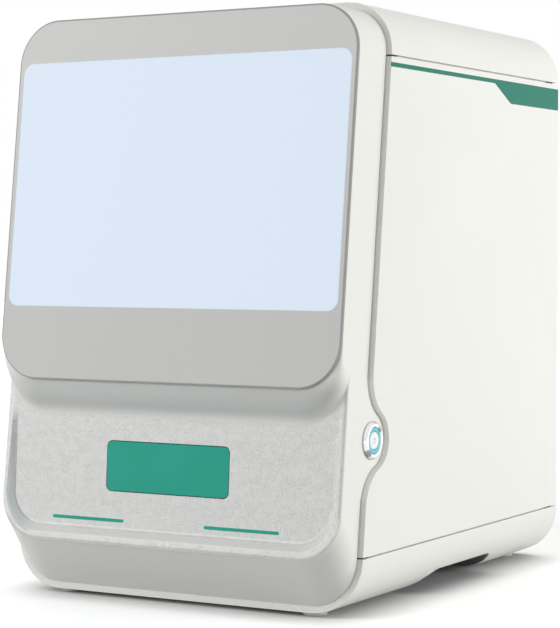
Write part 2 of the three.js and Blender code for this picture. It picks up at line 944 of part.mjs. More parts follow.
const bezelFace = fitGap + bezelHeight;
const capFace = bezelFace - capRecess;

function buildButtonBarrel() {
  const profile = [
    [barrelBore, -barrelLength],
    [barrelRadius, -barrelLength],
    [barrelRadius, fitGap],
    [bezelRadius, fitGap],
    [bezelRadius, bezelFace - bezelChamfer],
    [bezelRadius - bezelChamfer, bezelFace],
    [barrelBore, bezelFace],
    [barrelBore, -barrelLength],
  ];
  return toSolid(onButtonAxis(turned(profile)));
}

function buildButtonCap() {
  const profile = [
    [0, capFace - plungerLength],
    [plungerRadius, capFace - plungerLength],
    [plungerRadius, capFace - capThickness],
    [capRadius, capFace - capThickness],
    [capRadius, capFace],
    [0, capFace],
  ];
  return toSolid(onButtonAxis(turned(profile)));
}

function buildLightRing() {
  const inner = capRadius + buttonSlack;
  const outer = inner + ringWidth;
  const profile = [
    [inner, capFace - capThickness],
    [outer, capFace - capThickness],
    [outer, capFace],
    [inner, capFace],
    [inner, capFace - capThickness],
  ];
  return toSolid(onButtonAxis(turned(profile)));
}

function buildButtonNut() {
  const corner = nutAcrossFlats / Math.sqrt(3);
  const inner = shellHalf - shellSkin - fitGap;
  const body = rodX(buttonSetback, buttonHeight, inner - nutThickness, inner, corner, hexSides);
  const hole = rodX(buttonSetback, buttonHeight, 0, bodyWidth, barrelRadius + barrelSlack);
  return cut(toSolid(body), toSolid(hole));
}

function buildButtonSwitch() {
  const top = capFace - plungerLength - buttonTravel - buttonSlack;
  const profile = [
    [0, top - switchLength],
    [barrelBore - switchSlack, top - switchLength],
    [barrelBore - switchSlack, top],
    [0, top],
  ];
  return toSolid(onButtonAxis(turned(profile, roundSteps / 2)));
}

place('power_button_barrel', buildButtonBarrel(), chrome);
place('power_button_cap', buildButtonCap(), chrome);
place('power_button_light_ring', buildLightRing(), cyan);
place('power_button_nut', buildButtonNut(), satinSteel);
place('power_button_switch', buildButtonSwitch(), darkPlastic);

// Cartridge drawer

const fasciaAt = (z) => -fasciaDepth + fasciaLean * z;

function buildDrawerFront() {
  const half = doorWidth / 2;
  const outline = roundedRect(-half, half, doorBottom, doorTop, doorCorner);
  const plate = alongY(outline, -fasciaDepth, -fasciaDepth + doorThickness);
  return toSolid(leaned(plate, fasciaLean));
}

const trayFront = fasciaAt(trayTop) + doorThickness + fitGap;
const trayRear = trayFront + trayShoulder + wellLength + trayTail;
const runnerLow = trayBottom + runnerLift;
const runnerHigh = runnerLow + runnerThickness;
const runnerFront = trayFront + runnerSetback;
const rackRear = pinionSetback + drawerTravel + rackMargin;
const railRear = Math.max(trayRear, rackRear) + railTail;
const railHigh = runnerHigh + railSlack + railArm;

// Rack and pinion, in plan: the rack lies along the tray's left flank and the pinion stands beside it
const pitchRadius = (toothModule * pinionTeeth) / 2;
const rackPitch = Math.PI * toothModule;
const rackPitchX = -trayHalfWidth - rackBack - toothModule - rootClearance;
const pinionX = rackPitchX - pitchRadius;
const gearLow = railHigh + gearClearance;
const gearHigh = gearLow + gearFace;

function rackOutline() {
  const slope = Math.tan(radians(pressureDegrees));
  const half = rackPitch / 4 - meshBacklash / 2;
  const tipHalf = half - toothModule * slope;
  const rootHalf = half + (toothModule + rootClearance) * slope;
  const tipX = rackPitchX - toothModule;
  const rootX = rackPitchX + toothModule + rootClearance;
  const first = pinionSetback - rackMargin;
  const points = [[-trayHalfWidth + trayWall / 2, first], [rootX, first]];
  const start = Math.ceil((first - pinionSetback) / rackPitch + 1 / 2);
  for (let i = start; pinionSetback + (i + 1 / 2) * rackPitch + rootHalf < rackRear; i++) {
    const y = pinionSetback + (i + 1 / 2) * rackPitch;
    if (y - rootHalf <= first) continue;
    points.push([rootX, y - rootHalf], [tipX, y - tipHalf], [tipX, y + tipHalf], [rootX, y + rootHalf]);
  }
  points.push([rootX, rackRear], [-trayHalfWidth + trayWall / 2, rackRear]);
  return polygon(points);
}

function pinionOutline() {
  const pressure = radians(pressureDegrees);
  const base = pitchRadius * Math.cos(pressure);
  const tip = pitchRadius + toothModule;
  const root = pitchRadius - toothModule - rootClearance;
  const involute = (r) => {
    const angle = Math.acos(Math.min(1, base / r));
    return Math.tan(angle) - angle;
  };
  const half = Math.PI / pinionTeeth / 2 - meshBacklash / pitchRadius / 2;
  const offset = half + involute(pitchRadius);
  const points = [];
  for (let t = 0; t < pinionTeeth; t++) {
    const axis = (2 * Math.PI * t) / pinionTeeth;
    const flank = [];
    for (let i = 0; i <= flankSteps; i++) {
      const r = base + (tip - base) * (i / flankSteps);
      flank.push([r, offset - involute(r)]);
    }
    flank.unshift([root, offset]);
    const rising = flank.map(([r, a]) => [r, axis - a]);
    const falling = flank.map(([r, a]) => [r, axis + a]).reverse();
    for (const [r, a] of [...rising, ...falling]) {
      points.push([pinionX + r * Math.cos(a), pinionSetback + r * Math.sin(a)]);
    }
  }
  return polygon(points);
}

function buildTray() {
  const outline = roundedRect(-trayHalfWidth, trayHalfWidth, trayFront, trayRear, trayCorner);
  const body = toSolid(alongZ(outline, trayBottom, trayTop, smallSteps));
  const wellFront = trayFront + trayShoulder;
  const wellOutline = roundedRect(
    -wellHalfWidth,
    wellHalfWidth,
    wellFront,
    wellFront + wellLength,
    trayCorner,
  );
  const floor = trayBottom + trayFloor;
  const well = toSolid(alongZ(wellOutline, floor, trayTop + cutOverrun, smallSteps));
  const light = toSolid(block(
    -lightHalfWidth,
    lightHalfWidth,
    opticsSetback - lightHalfLength,
    opticsSetback + lightHalfLength,
    trayBottom - cutOverrun,
    floor + cutOverrun,
  ));
  const runners = [-1, 1].map((side) => {
    const x = [side * (trayHalfWidth - trayWall), side * (trayHalfWidth + runnerReach)];
    x.sort((a, b) => a - b);
    return toSolid(block(...x, runnerFront, trayRear - trayCorner, runnerLow, runnerHigh));
  });
  const rack = toSolid(alongZ(rackOutline(), gearLow, gearHigh));
  return cut(joined(body, ...runners, rack), well, light);
}

function buildRail(side) {
  const inner = trayHalfWidth + railSlack;
  const webIn = trayHalfWidth + runnerReach + railSlack;
  const webOut = webIn + railWeb;
  const low = deckTop + fitGap;
  const lowArm = runnerLow - railSlack;
  const outline = [
    [inner, low],
    [webOut, low],
    [webOut, railHigh],
    [inner, railHigh],
    [inner, railHigh - railArm],
    [webIn, railHigh - railArm],
    [webIn, lowArm],
    [inner, lowArm],
  ].map(([x, z]) => [side * x, z]);
  const section = polygon(side > 0 ? outline : outline.reverse());
  return toSolid(alongY(section, railFrontSetback, railRear));
}

place('drawer_front', buildDrawerFront(), teal);
place('drawer_tray', buildTray(), darkPlastic);
place('left_drawer_rail', buildRail(-1), satinSteel);
place('right_drawer_rail', buildRail(1), satinSteel);

function buildPinion() {
  const teeth = toSolid(alongZ(pinionOutline(), gearLow, gearHigh));
  const hub = toSolid(rodZ(pinionX, pinionSetback, railHigh + fitGap, gearHigh, pinionHub));
  const bore = toSolid(rodZ(pinionX, pinionSetback, 0, bodyHeight, shaftRadius + shaftSlack));
  return cut(joined(teeth, hub), bore);
}

const motorTop = deckTop - deckThickness - fitGap;

function buildDriveMotor() {
  const half = motorSize / 2;
  const outline = roundedRect(
    pinionX - half,
    pinionX + half,
    pinionSetback - half,
    pinionSetback + half,
    motorCorner,
  );
  const can = toSolid(alongZ(outline, motorTop - motorLength, motorTop, smallSteps));
  const pilot = toSolid(rodZ(pinionX, pinionSetback, motorTop - rootLap, deckTop, motorPilotRadius));
  const shaft = toSolid(rodZ(pinionX, pinionSetback, motorTop - rootLap, gearHigh, shaftRadius));
  return joined(can, pilot, shaft);
}

place('drive_pinion', buildPinion(), brass);
place('drive_motor', buildDriveMotor(), blackMetal);

// Chassis deck: a folded plate that stands on the base's floor

// The height of the base's inside at a distance from its middle, where its rounded edge may rise
function baseFloorAt(x) {
  const radius = bodyCorner - shellWall;
  const past = Math.max(0, x - (halfBody - bodyCorner));
  return bodyCorner - Math.sqrt(radius ** 2 - past ** 2);
}

function buildDeck() {
  const outline = roundedRect(-deckHalfWidth, deckHalfWidth, deckFront, deckRear, deckCorner);
  const plate = toSolid(alongZ(outline, deckTop - deckThickness, deckTop));
  const legs = [-1, 1].map((side) => {
    const x = [side * (deckHalfWidth - deckFlange), side * deckHalfWidth].sort((a, b) => a - b);
    const y0 = deckFront + deckCorner;
    const y1 = deckRear - deckCorner;
    const low = baseFloorAt(deckHalfWidth) + fitGap;
    const leg = polygon([
      [y0, low],
      [y0 + legFoot, low],
      [y0 + legFoot, low + legNotchHeight],
      [gripEnd + legToGrip, low + legNotchHeight],
      [gripEnd + legToGrip, low],
      [y1, low],
      [y1, deckTop - deckThickness / 2],
      [y0, deckTop - deckThickness / 2],
    ]);
    return toSolid(alongX(leg, ...x));
  });
  const pilotHole = rodZ(pinionX, pinionSetback, 0, bodyHeight, motorPilotRadius + shaftSlack);
  const lampHole = rodZ(0, opticsSetback, 0, bodyHeight, lampRadius + fitGap);
  return cut(joined(plate, ...legs), toSolid(pilotHole), toSolid(lampHole));
}
place('chassis_deck', buildDeck(), satinSteel);

// Optics column with its focus carriage

const columnBase = deckTop + fitGap;
const columnFront = railRear + columnGap;
const columnRear = columnFront + columnThickness;

function buildColumn() {
  const top = columnBase + columnHeight;
  const outline = roundedRect(-columnHalfWidth, columnHalfWidth, columnBase, top, columnCorner);
  const windowHalf = columnHalfWidth * columnWindowShare;
  const middle = columnBase + columnHeight * columnWindowShare;
  for (const x of [-columnHalfWidth / 2 - columnCorner, columnHalfWidth / 2 + columnCorner]) {
    const hole = roundedRect(
      x - windowHalf / 2,
      x + windowHalf / 2,
      columnBase + columnCorner * 2,
      middle,
      columnCorner / 2,
    );
    outline.holes.push(hole);
  }
  const plate = toSolid(alongY(outline, columnFront, columnRear));
  const footHalf = columnHalfWidth - columnCorner;
  const foot = block(
    -footHalf,
    footHalf,
    columnFront,
    columnRear + columnFoot,
    columnBase,
    columnBase + columnThickness,
  );
  const bearing = (low) => block(
    -bearingHalfWidth,
    bearingHalfWidth,
    columnFront - bearingDepth,
    columnFront + rootLap,
    low,
    low + bearingHeight,
  );
  const screwLow = screwBase - bearingHeight - fitGap;
  const screwHigh = screwBase + screwLength + fitGap;
  const guides = [-1, 1].map((side) => {
    const x = side * guideSpacing;
    const half = guideWidth / 2;
    const low = screwBase - bearingHeight;
    const front = columnFront - guideDepth;
    return block(x - half, x + half, front, columnFront + rootLap, low, low + guideLength);
  });
  return joined(
    plate,
    toSolid(foot),
    toSolid(bearing(screwLow)),
    toSolid(bearing(screwHigh)),
    ...guides.map(toSolid),
  );
}

const screwBase = carriageBottom - (screwLength - carriageHeight) / 2;
const screwY = columnFront - screwForward;

// The carriage straddles the guides, holds the lens arm in front and is pierced by the screw
function buildCarriage() {
  const rear = columnFront - fitGap;
  const front = rear - carriageThickness;
  const high = carriageBottom + carriageHeight;
  const wide = guideSpacing + guideWidth;
  const body = toSolid(block(-wide, wide, front, rear, carriageBottom, high));
  const slots = [-1, 1].map((side) => {
    const x = side * guideSpacing;
    const half = guideWidth / 2 + fitGap;
    return toSolid(block(
      x - half,
      x + half,
      columnFront - guideDepth - fitGap,
      columnFront + cutOverrun,
      0,
      bodyHeight,
    ));
  });
  const armTop = carriageBottom + armThickness;
  const armFront = opticsSetback - armHalfWidth;
  const armRear = rear - carriageThickness / 2;
  const armCorner = armHalfWidth * armCornerShare;
  const arm = roundedRect(-armHalfWidth, armHalfWidth, armFront, armRear, armCorner);
  const armSolid = toSolid(alongZ(arm, carriageBottom, armTop));
  const seat = rodZ(0, opticsSetback, 0, bodyHeight, objectiveRadius + fitGap);
  const screwHole = rodZ(0, screwY, 0, bodyHeight, screwRadius + screwSlack);
  return cut(joined(body, armSolid), ...slots, toSolid(seat), toSolid(screwHole));
}

function buildScrew() {
  return toSolid(rodZ(0, screwY, screwBase, screwBase + screwLength, screwRadius, roundSteps / 2));
}

const onLensAxis = (geometry) => geometry.rotateX(Math.PI / 2).translate(0, opticsSetback, 0);

// A stepped objective whose shoulder rests on the arm
function buildObjective() {
  const armTop = carriageBottom + armThickness;
  const low = armTop - objectiveLength;
  const shoulder = armTop + fitGap;
  const profile = [
    [0, low - objectiveNose],
    [objectiveTip, low - objectiveNose],
    [objectiveRadius, low],
    [objectiveRadius, shoulder],
    [tubeFlange, shoulder],
    [tubeFlange, shoulder + tubeFlangeHeight],
    [0, shoulder + tubeFlangeHeight],
  ];
  return toSolid(onLensAxis(turned(profile)));
}

const tubeBase = carriageBottom + armThickness + tubeFlangeHeight + fitGap * 2;

function buildTube() {
  const top = tubeBase + tubeLength;
  const profile = [
    [0, tubeBase],
    [tubeFlange, tubeBase],
    [tubeFlange, tubeBase + tubeFlangeHeight],
    [tubeRadius, tubeBase + tubeFlangeHeight],
    [tubeRadius, top],
    [0, top],
  ];
  return toSolid(onLensAxis(turned(profile)));
}

function buildCamera() {
  const half = cameraSize / 2;
  const low = tubeBase + tubeLength + fitGap;
  const outline = roundedRect(-half, half, opticsSetback - half, opticsSetback + half, cameraCorner);
  return toSolid(alongZ(outline, low, low + cameraLength, smallSteps));
}

function buildFocusMotor() {
  const half = focusMotorSize / 2;
  const low = screwBase + screwLength + fitGap + bearingHeight + fitGap;
  const rear = columnFront - fitGap;
  const outline = roundedRect(-half, half, rear - focusMotorSize, rear, cameraCorner);
  return toSolid(alongZ(outline, low, low + focusMotorLength, smallSteps));
}

// The lamp that lights the cartridge from below, seated in the deck
function buildLamp() {
  const low = deckTop - lampLength;
  return toSolid(rodZ(0, opticsSetback, low, deckTop, lampRadius, roundSteps / 2));
}

place('optics_column', buildColumn(), blackMetal);
place('focus_carriage', buildCarriage(), satinSteel);
place('focus_screw', buildScrew(), satinSteel);
place('focus_motor', buildFocusMotor(), blackMetal);
place('objective_lens', buildObjective(), chrome);
place('lens_tube', buildTube(), blackMetal);
place('camera', buildCamera(), darkPlastic);
place('lamp', buildLamp(), darkPlastic);

// Electronics

function buildMainboard() {
  const rear = columnRear + fitGap + standoffLength;
  const low = columnBase + boardLift;
  const high = low + boardHeight;
  const plate = block(-boardHalfWidth, boardHalfWidth, rear, rear + boardThickness, low, high);
  const posts = [-1, 1].flatMap((side) => [low + standoffInset, high - standoffInset].map((z) => {
    const x = side * (boardHalfWidth - standoffInset);
    return rodY(x, z, columnRear + fitGap, rear + boardThickness / 2, standoffRadius, cornerSteps * 2);
  }));
  const chips = [[-1, 1], [1, 1], [0, 2]].map(([column, row]) => {
    const x = column * chipSize * chipAcrossShare;
    const z = low + row * chipSize * chipUpShare;
    const half = chipSize / 2;
    const face = rear + boardThickness;
    return block(x - half, x + half, face - boardThickness / 2, face + chipHeight, z - half, z + half);
  });
  return joined(toSolid(plate), ...posts.map(toSolid), ...chips.map(toSolid));
}

function buildSupply() {
  const low = shellWall + fitGap;
  const half = supplyWidth / 2;
  const supplyRear = bodyDepth - supplyRearSetback;
  const outline = roundedRect(
    -half,
    half,
    supplyRear - supplyDepth,
    supplyRear,
    supplyCorner,
  );
  return toSolid(alongZ(outline, low, low + supplyHeight, smallSteps));
}

place('mainboard', buildMainboard(), boardGreen);
place('power_supply', buildSupply(), satinSteel);

// Rear panel and what it carries

const rearOuter = bodyDepth - rearRecess;
const rearInner = rearOuter - rearThickness;

function slotOutline(x, z, width, height) {
  return roundedRect(x - width / 2, x + width / 2, z - height / 2, z + height / 2, height / 2);
}

function portPlaces() {
  return [
    { name: 'usb_port_inner', x: portCentreX - portSpacing, width: usbWidth },
    { name: 'usb_port_outer', x: portCentreX, width: usbWidth },
    { name: 'network_port', x: portCentreX + portSpacing, width: lanWidth },
  ];
}

function buildRearPanel() {
  const inset = shellWall + fitGap;
  const edge = halfBody - inset;
  const outline = roundedRect(-edge, edge, inset, bodyHeight - inset, bodyCorner - inset);
  const plate = toSolid(alongY(outline, rearInner, rearOuter));
  const holes = [];
  const through = (shape) => {
    holes.push(toSolid(alongY(shape, rearInner - cutOverrun, bodyDepth, smallSteps)));
  };
  holes.push(toSolid(rodY(fanCentreX, fanCentreZ, rearInner - cutOverrun, bodyDepth, fanBore)));
  for (let row = 0; row < ventRows; row++) {
    const z = ventBase + row * ventPitch;
    for (const side of [-1, 1]) {
      const x = ventCentreX + (side * (ventSlotWidth + ventPitch)) / 2;
      through(slotOutline(x, z, ventSlotWidth, ventSlotHeight));
    }
  }
  const hole = (x, z, width, height) => through(rectangle(
    x - width / 2 - fitGap,
    x + width / 2 + fitGap,
    z - height / 2 - fitGap,
    z + height / 2 + fitGap,
  ));
  hole(inletCentreX, inletCentreZ, inletWidth - inletFlange * 2, inletHeight - inletFlange / 2);
  hole(rockerCentreX, inletCentreZ, rockerWidth + switchFrame, rockerHeight + switchFrame);
  for (const port of portPlaces()) hole(port.x, portCentreZ, port.width, usbHeight);
  return cut(plate, ...holes);
}
place('rear_panel', buildRearPanel(), whiteCase);

// The inlet's mouth has two clipped corners, as its plug does
function inletMouth() {
  const half = inletMouthWidth / 2;
  const low = inletCentreZ - inletMouthHeight / 2;
  const high = inletCentreZ + inletMouthHeight / 2;
  const clip = inletMouthHeight * inletChamferShare;
  return polygon([
    [inletCentreX - half, low],
    [inletCentreX + half, low],
    [inletCentreX + half, high - clip],
    [inletCentreX + half - clip, high],
    [inletCentreX - half + clip, high],
    [inletCentreX - half, high - clip],
  ]);
}

function buildInlet() {
  const flangeRear = bodyDepth - fitGap;
  const flange = roundedRect(
    inletCentreX - inletWidth / 2,
    inletCentreX + inletWidth / 2,
    inletCentreZ - inletHeight / 2,
    inletCentreZ + inletHeight / 2,
    inletFlange,
  );
  const plate = toSolid(alongY(flange, rearOuter + fitGap, flangeRear));
  const bodyHalf = inletWidth / 2 - inletFlange;
  const bodyHalfHeight = inletHeight / 2 - inletFlange / 4;
  const body = toSolid(block(
    inletCentreX - bodyHalf,
    inletCentreX + bodyHalf,
    flangeRear - inletDepth,
    flangeRear - rearRecess / 2,
    inletCentreZ - bodyHalfHeight,
    inletCentreZ + bodyHalfHeight,
  ));
  const mouthFloor = flangeRear - inletMouthDepth;
  const mouth = toSolid(alongY(inletMouth(), mouthFloor, bodyDepth));
  const pins = [[-1, -1], [0, 1], [1, -1]].map(([column, row]) => {
    const x = inletCentreX + (column * inletMouthWidth) / 4;
    const z = inletCentreZ + (row * pinWidth) / 2;
    return toSolid(block(
      x - pinThickness / 2,
      x + pinThickness / 2,
      mouthFloor - rootLap,
      mouthFloor + pinLength,
      z - pinWidth / 2,
      z + pinWidth / 2,
    ));
  });
  return joined(cut(joined(plate, body), mouth), ...pins);
}

// The switch frame holds the rocker on two side pins in its open front
const rockerPivotY = rearOuter - rockerDepth / 4;

function buildSwitchFrame() {
  const front = bodyDepth - fitGap - switchDepth;
  const half = rockerWidth / 2 + switchFrame / 2;
  const halfHeight = rockerHeight / 2 + switchFrame / 2;
  const body = toSolid(block(
    rockerCentreX - half,
    rockerCentreX + half,
    front,
    bodyDepth - rearRecess / 2,
    inletCentreZ - halfHeight,
    inletCentreZ + halfHeight,
  ));
  const rim = toSolid(block(
    rockerCentreX - half - switchFrame / 2,
    rockerCentreX + half + switchFrame / 2,
    rearOuter + fitGap,
    bodyDepth - fitGap,
    inletCentreZ - halfHeight - switchFrame / 2,
    inletCentreZ + halfHeight + switchFrame / 2,
  ));
  const cavity = toSolid(block(
    rockerCentreX - rockerWidth / 2,
    rockerCentreX + rockerWidth / 2,
    rockerPivotY - rockerDepth,
    bodyDepth + cutOverrun,
    inletCentreZ - rockerHeight / 2 - rockerGap,
    inletCentreZ + rockerHeight / 2 + rockerGap,
  ));
  const socket = toSolid(rodX(
    rockerPivotY,
    inletCentreZ,
    rockerCentreX - rockerWidth / 2 - rockerPinReach,
    rockerCentreX + rockerWidth / 2 + rockerPinReach,
    rockerPivotRadius + fitGap,
    roundSteps / 2,
  ));
  return cut(joined(body, rim), cavity, socket);
}

function buildRocker() {
  const half = rockerWidth / 2 - fitGap;
  const halfHeight = rockerHeight / 2;
  const face = rearOuter + rockerRaise / 2;
  const back = rockerPivotY - rockerDepth / 3;
  const outline = polygon([
    [back, inletCentreZ - halfHeight / 2],
    [face + rockerRaise, inletCentreZ - halfHeight],
    [face, inletCentreZ],
    [face + rockerRaise, inletCentreZ + halfHeight],
    [back, inletCentreZ + halfHeight / 2],
  ]);
  const paddle = toSolid(alongX(outline, rockerCentreX - half, rockerCentreX + half));
  const pin = rodX(
    rockerPivotY,
    inletCentreZ,
    rockerCentreX - rockerWidth / 2 - rockerPinReach + fitGap,
    rockerCentreX + rockerWidth / 2 + rockerPinReach - fitGap,
    rockerPivotRadius,
    roundSteps / 2,
  );
  const rocker = toGeometry(paddle.add(toSolid(pin)));
  rocker.translate(0, -rockerPivotY, -inletCentreZ);
  rocker.rotateX(radians(-rockerTiltDegrees));
  return toSolid(rocker.translate(0, rockerPivotY, inletCentreZ));
}

function buildPort(x, width) {
  const rear = bodyDepth - fitGap;
  const [half, halfHeight] = [width / 2, usbHeight / 2];
  const [low, high] = [portCentreZ - halfHeight, portCentreZ + halfHeight];
  const body = block(x - half, x + half, rear - portDepth, rear, low, high);
  const mouth = block(
    x - half + portWall,
    x + half - portWall,
    rear - portMouthDepth,
    bodyDepth + cutOverrun,
    low + portWall,
    high - portWall,
  );
  return cut(toSolid(body), toSolid(mouth));
}

place('mains_inlet', buildInlet(), darkPlastic);
place('switch_frame', buildSwitchFrame(), darkPlastic);
place('rocker_switch', buildRocker(), darkPlastic);
for (const port of portPlaces()) place(port.name, buildPort(port.x, port.width), satinSteel);

// Cooling fan

const fanRear = rearInner - fitGap;
const fanFront = fanRear - fanDepth;

function buildFanFrame() {
  const half = fanSize / 2;
  const outline = roundedRect(
    fanCentreX - half,
    fanCentreX + half,
    fanCentreZ - half,
    fanCentreZ + half,
    fanCorner,
  );
  const bore = rodY(fanCentreX, fanCentreZ, fanFront - cutOverrun, fanRear + cutOverrun, fanBore);
  const frame = cut(toSolid(alongY(outline, fanFront, fanRear, smallSteps)), toSolid(bore));
  const spiderRear = fanFront + spiderDepth;
  const arms = [-1, 1].map((side) => {
    const geometry = new THREE.BoxGeometry(fanBore * 2 + rootLap, spiderDepth, spiderArm);
    geometry.rotateY((side * Math.PI) / 4);
    return toSolid(geometry.translate(fanCentreX, fanFront + spiderDepth / 2, fanCentreZ));
  });
  const plate = toSolid(rodY(fanCentreX, fanCentreZ, fanFront, spiderRear, hubRadius));
  return joined(frame, ...arms, plate);
}

function buildFanRotor() {
  const front = fanFront + spiderDepth + fitGap * 2;
  const rear = fanRear - rotorSetback;
  const hub = toSolid(rodY(fanCentreX, fanCentreZ, front, rear, hubRadius));
  const length = rear - front - rotorGap * 2;
  const bladeReach = bladeRadius - hubRadius + rotorGap;
  const blades = [];
  for (let i = 0; i < bladeCount; i++) {
    const blade = new THREE.BoxGeometry(bladeReach, length, bladeThickness);
    blade.rotateX(radians(bladeTwistDegrees));
    blade.translate(hubRadius - rotorGap + bladeReach / 2, (front + rear) / 2, 0);
    blade.rotateY((i * 2 * Math.PI) / bladeCount);
    blades.push(toSolid(blade.translate(fanCentreX, 0, fanCentreZ)));
  }
  return joined(hub, ...blades);
}

function buildFanGuard() {
  const front = rearOuter + fitGap;
  const rear = front + guardThickness;
  const ring = (outer, inner) => {
    const shape = disc(fanCentreX, fanCentreZ, outer);
    shape.holes.push(disc(fanCentreX, fanCentreZ, inner));
    return toSolid(alongY(shape, front, rear, discSteps));
  };
  const outerRadius = fanSize / 2 - guardWire;
  const pitch = (outerRadius - guardWire) / guardRings;
  const rings = [];
  for (let i = 0; i < guardRings; i++) {
    const outer = outerRadius - i * pitch;
    rings.push(ring(outer, outer - guardWire));
  }
  const spokes = [-1, 1].map((side) => {
    const reach = (outerRadius - guardWire / 2) * 2;
    const spoke = new THREE.BoxGeometry(reach, guardThickness, guardWire);
    spoke.rotateY((side * Math.PI) / 4);
    return toSolid(spoke.translate(fanCentreX, (front + rear) / 2, fanCentreZ));
  });
  return joined(...rings, ...spokes);
}

place('fan_frame', buildFanFrame(), darkPlastic);
place('fan_rotor', buildFanRotor(), darkPlastic);
place('fan_guard', buildFanGuard(), satinSteel);

export default analyzer;
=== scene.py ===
import math
from collections import namedtuple

import bmesh
import bpy
from bpy.props import FloatProperty, FloatVectorProperty, IntProperty, PointerProperty
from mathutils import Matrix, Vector


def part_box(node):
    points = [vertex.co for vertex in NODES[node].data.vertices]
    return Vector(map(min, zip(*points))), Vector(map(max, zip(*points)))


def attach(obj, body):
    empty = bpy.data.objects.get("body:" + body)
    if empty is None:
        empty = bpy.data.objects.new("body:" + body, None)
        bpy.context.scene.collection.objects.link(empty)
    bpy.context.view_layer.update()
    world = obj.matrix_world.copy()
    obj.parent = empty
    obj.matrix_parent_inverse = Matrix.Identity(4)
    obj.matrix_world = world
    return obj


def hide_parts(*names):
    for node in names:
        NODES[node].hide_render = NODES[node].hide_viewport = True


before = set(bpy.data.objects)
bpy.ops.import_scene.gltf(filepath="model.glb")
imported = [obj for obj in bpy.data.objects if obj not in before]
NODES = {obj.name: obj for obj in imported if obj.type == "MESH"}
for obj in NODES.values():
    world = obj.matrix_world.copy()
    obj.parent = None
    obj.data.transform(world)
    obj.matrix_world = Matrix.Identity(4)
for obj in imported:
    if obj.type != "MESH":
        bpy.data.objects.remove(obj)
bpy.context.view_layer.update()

bl_info = {
    "name": "Bench hematology analyzer",
    "version": (1, 0, 0),
    "blender": (4, 5, 0),
    "location": "3D View > Sidebar > Analyzer",
    "description": "Fine shapes, finishes and a plain studio for the packed analyzer",
    "category": "Object",
}

GLASS_LOW, GLASS_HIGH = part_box("screen_glass")
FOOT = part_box("base_shell")[0]
BUTTON_LOW, BUTTON_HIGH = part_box("power_button_barrel")
DOOR_LOW, DOOR_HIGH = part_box("drawer_front")


# Properties


def metres(label, value, note):
    return FloatProperty(name=label, description=note, default=value, unit="LENGTH", precision=5)


def degrees(label, value, note):
    return FloatProperty(name=label, description=note, default=math.radians(value), unit="ROTATION")


def share(label, value, note):
    return FloatProperty(name=label, description=note, default=value, min=0, soft_max=2)


def watts(label, value, note):
    return FloatProperty(name=label, description=note, default=value, unit="POWER")


def linear(code):
    """The linear colour of a hexadecimal one."""
    parts = [int(code[i : i + 2], 16) / 255 for i in (0, 2, 4)]
    return [p / 12.92 if p <= 0.04045 else ((p + 0.055) / 1.055) ** 2.4 for p in parts]


def tint(label, code, note):
    return FloatVectorProperty(
        name=label, description=note, default=linear(code), size=3, min=0, max=1, subtype="COLOR"
    )


class ShellSizes(bpy.types.PropertyGroup):
    """Sizes of the front shell. Depths are taken forward from the body's leaning front plane."""

    lean: degrees("Lean", 6.96, "Tilt of the front plane from upright")
    half_width: metres("Half width", GLASS_HIGH.x, "Half the shell's width")
    top: metres("Top", GLASS_HIGH.z - FOOT.z, "Height of the shell's top over the base")
    corner: metres("Corner", 0.032, "Radius of the shell's outer corners")
    rear_depth: metres("Rear face", 0.0003, "Gap between the body's front plane and the shell")
    edge_round: metres("Edge round", 0.005, "Depth of the rounding at the rear edge")
    edge_tuck: metres("Edge tuck", 0.00201, "How far the rear edge tucks in")
    skirt_foot: metres("Skirt foot", 0.00485, "Height of the skirt's rear edge")
    rim_depth: metres("Rim depth", 0.0295, "Depth of the rim round the fascia")
    rim_bottom: metres("Rim bottom", 0.0395, "Height of the rim's lower edge")
    rim_round: metres("Rim round", 0.0016, "Radius of the rim's outer edge")
    panel_depth: metres("Panel depth", 0.0435, "Depth of the glass panel's face")
    panel_bottom: metres("Panel bottom", GLASS_LOW.z - FOOT.z, "Height of the panel's lower edge")
    panel_corner: metres("Panel corner", 0.0325, "Radius of the panel's lower corners")
    panel_thickness: metres("Panel thickness", 0.002, "Thickness of the glass panel")
    cove_bottom: metres("Cove bottom", 0.1315, "Height of the cove's foot")
    cove_corner: metres("Cove corner", 0.033, "Corner radius at the cove's foot")
    cove_sweep: degrees("Cove sweep", 60, "Angle through which the cove swings")
    fillet_start: degrees("Fillet start", 45, "Swing of the cove at which the fillet at its foot starts")
    fillet_foot: metres("Fillet foot", 0.1262, "Height at which the fillet ends")
    strip_width: metres("Strip width", 0.0038, "Width of the rim strip at the sides")
    strip_height: metres("Strip height", 0.0052, "Height of the rim strip at the bottom")
    strip_corner: metres("Strip corner", 0.0285, "Corner radius inside the rim strip")
    wall_run: metres("Wall run", 0.0045, "Run of the recess's sloped wall")
    recess_top: metres("Recess top", 0.1219, "Height at which the fascia meets the rim")
    wall_rise: metres("Wall rise", 0.0036, "Rise of the recess's lower wall")
    recess_edge: metres("Recess edge", 0.0009, "Radius of the edge into the recess")
    fascia_corner: metres("Fascia corner", 0.025, "Corner radius of the fascia")
    fascia_depth: metres("Fascia depth", 0.0226, "Depth of the fascia's plane at its foot")
    fascia_tilt: degrees("Fascia tilt", 3.75, "Tilt of the fascia from upright")
    skin: metres("Skin", 0.003, "Wall thickness of the moulding")
    door_gap: metres("Door gap", 0.0006, "Gap round the drawer's door")
    door_corner: metres("Door corner", 0.004, "Corner radius of the door")
    hole_slack: metres("Hole slack", 0.00025, "Gap round the power button's barrel")
    panel_edge: metres("Panel edge", 0.0007, "Radius of the glass panel's edge")
    arc_steps: IntProperty(name="Arc steps", description="Steps of a quarter turn", default=20, min=4)

    @property
    def slope(self):
        return math.tan(self.lean)

    @property
    def fascia_slope(self):
        return math.tan(self.fascia_tilt)


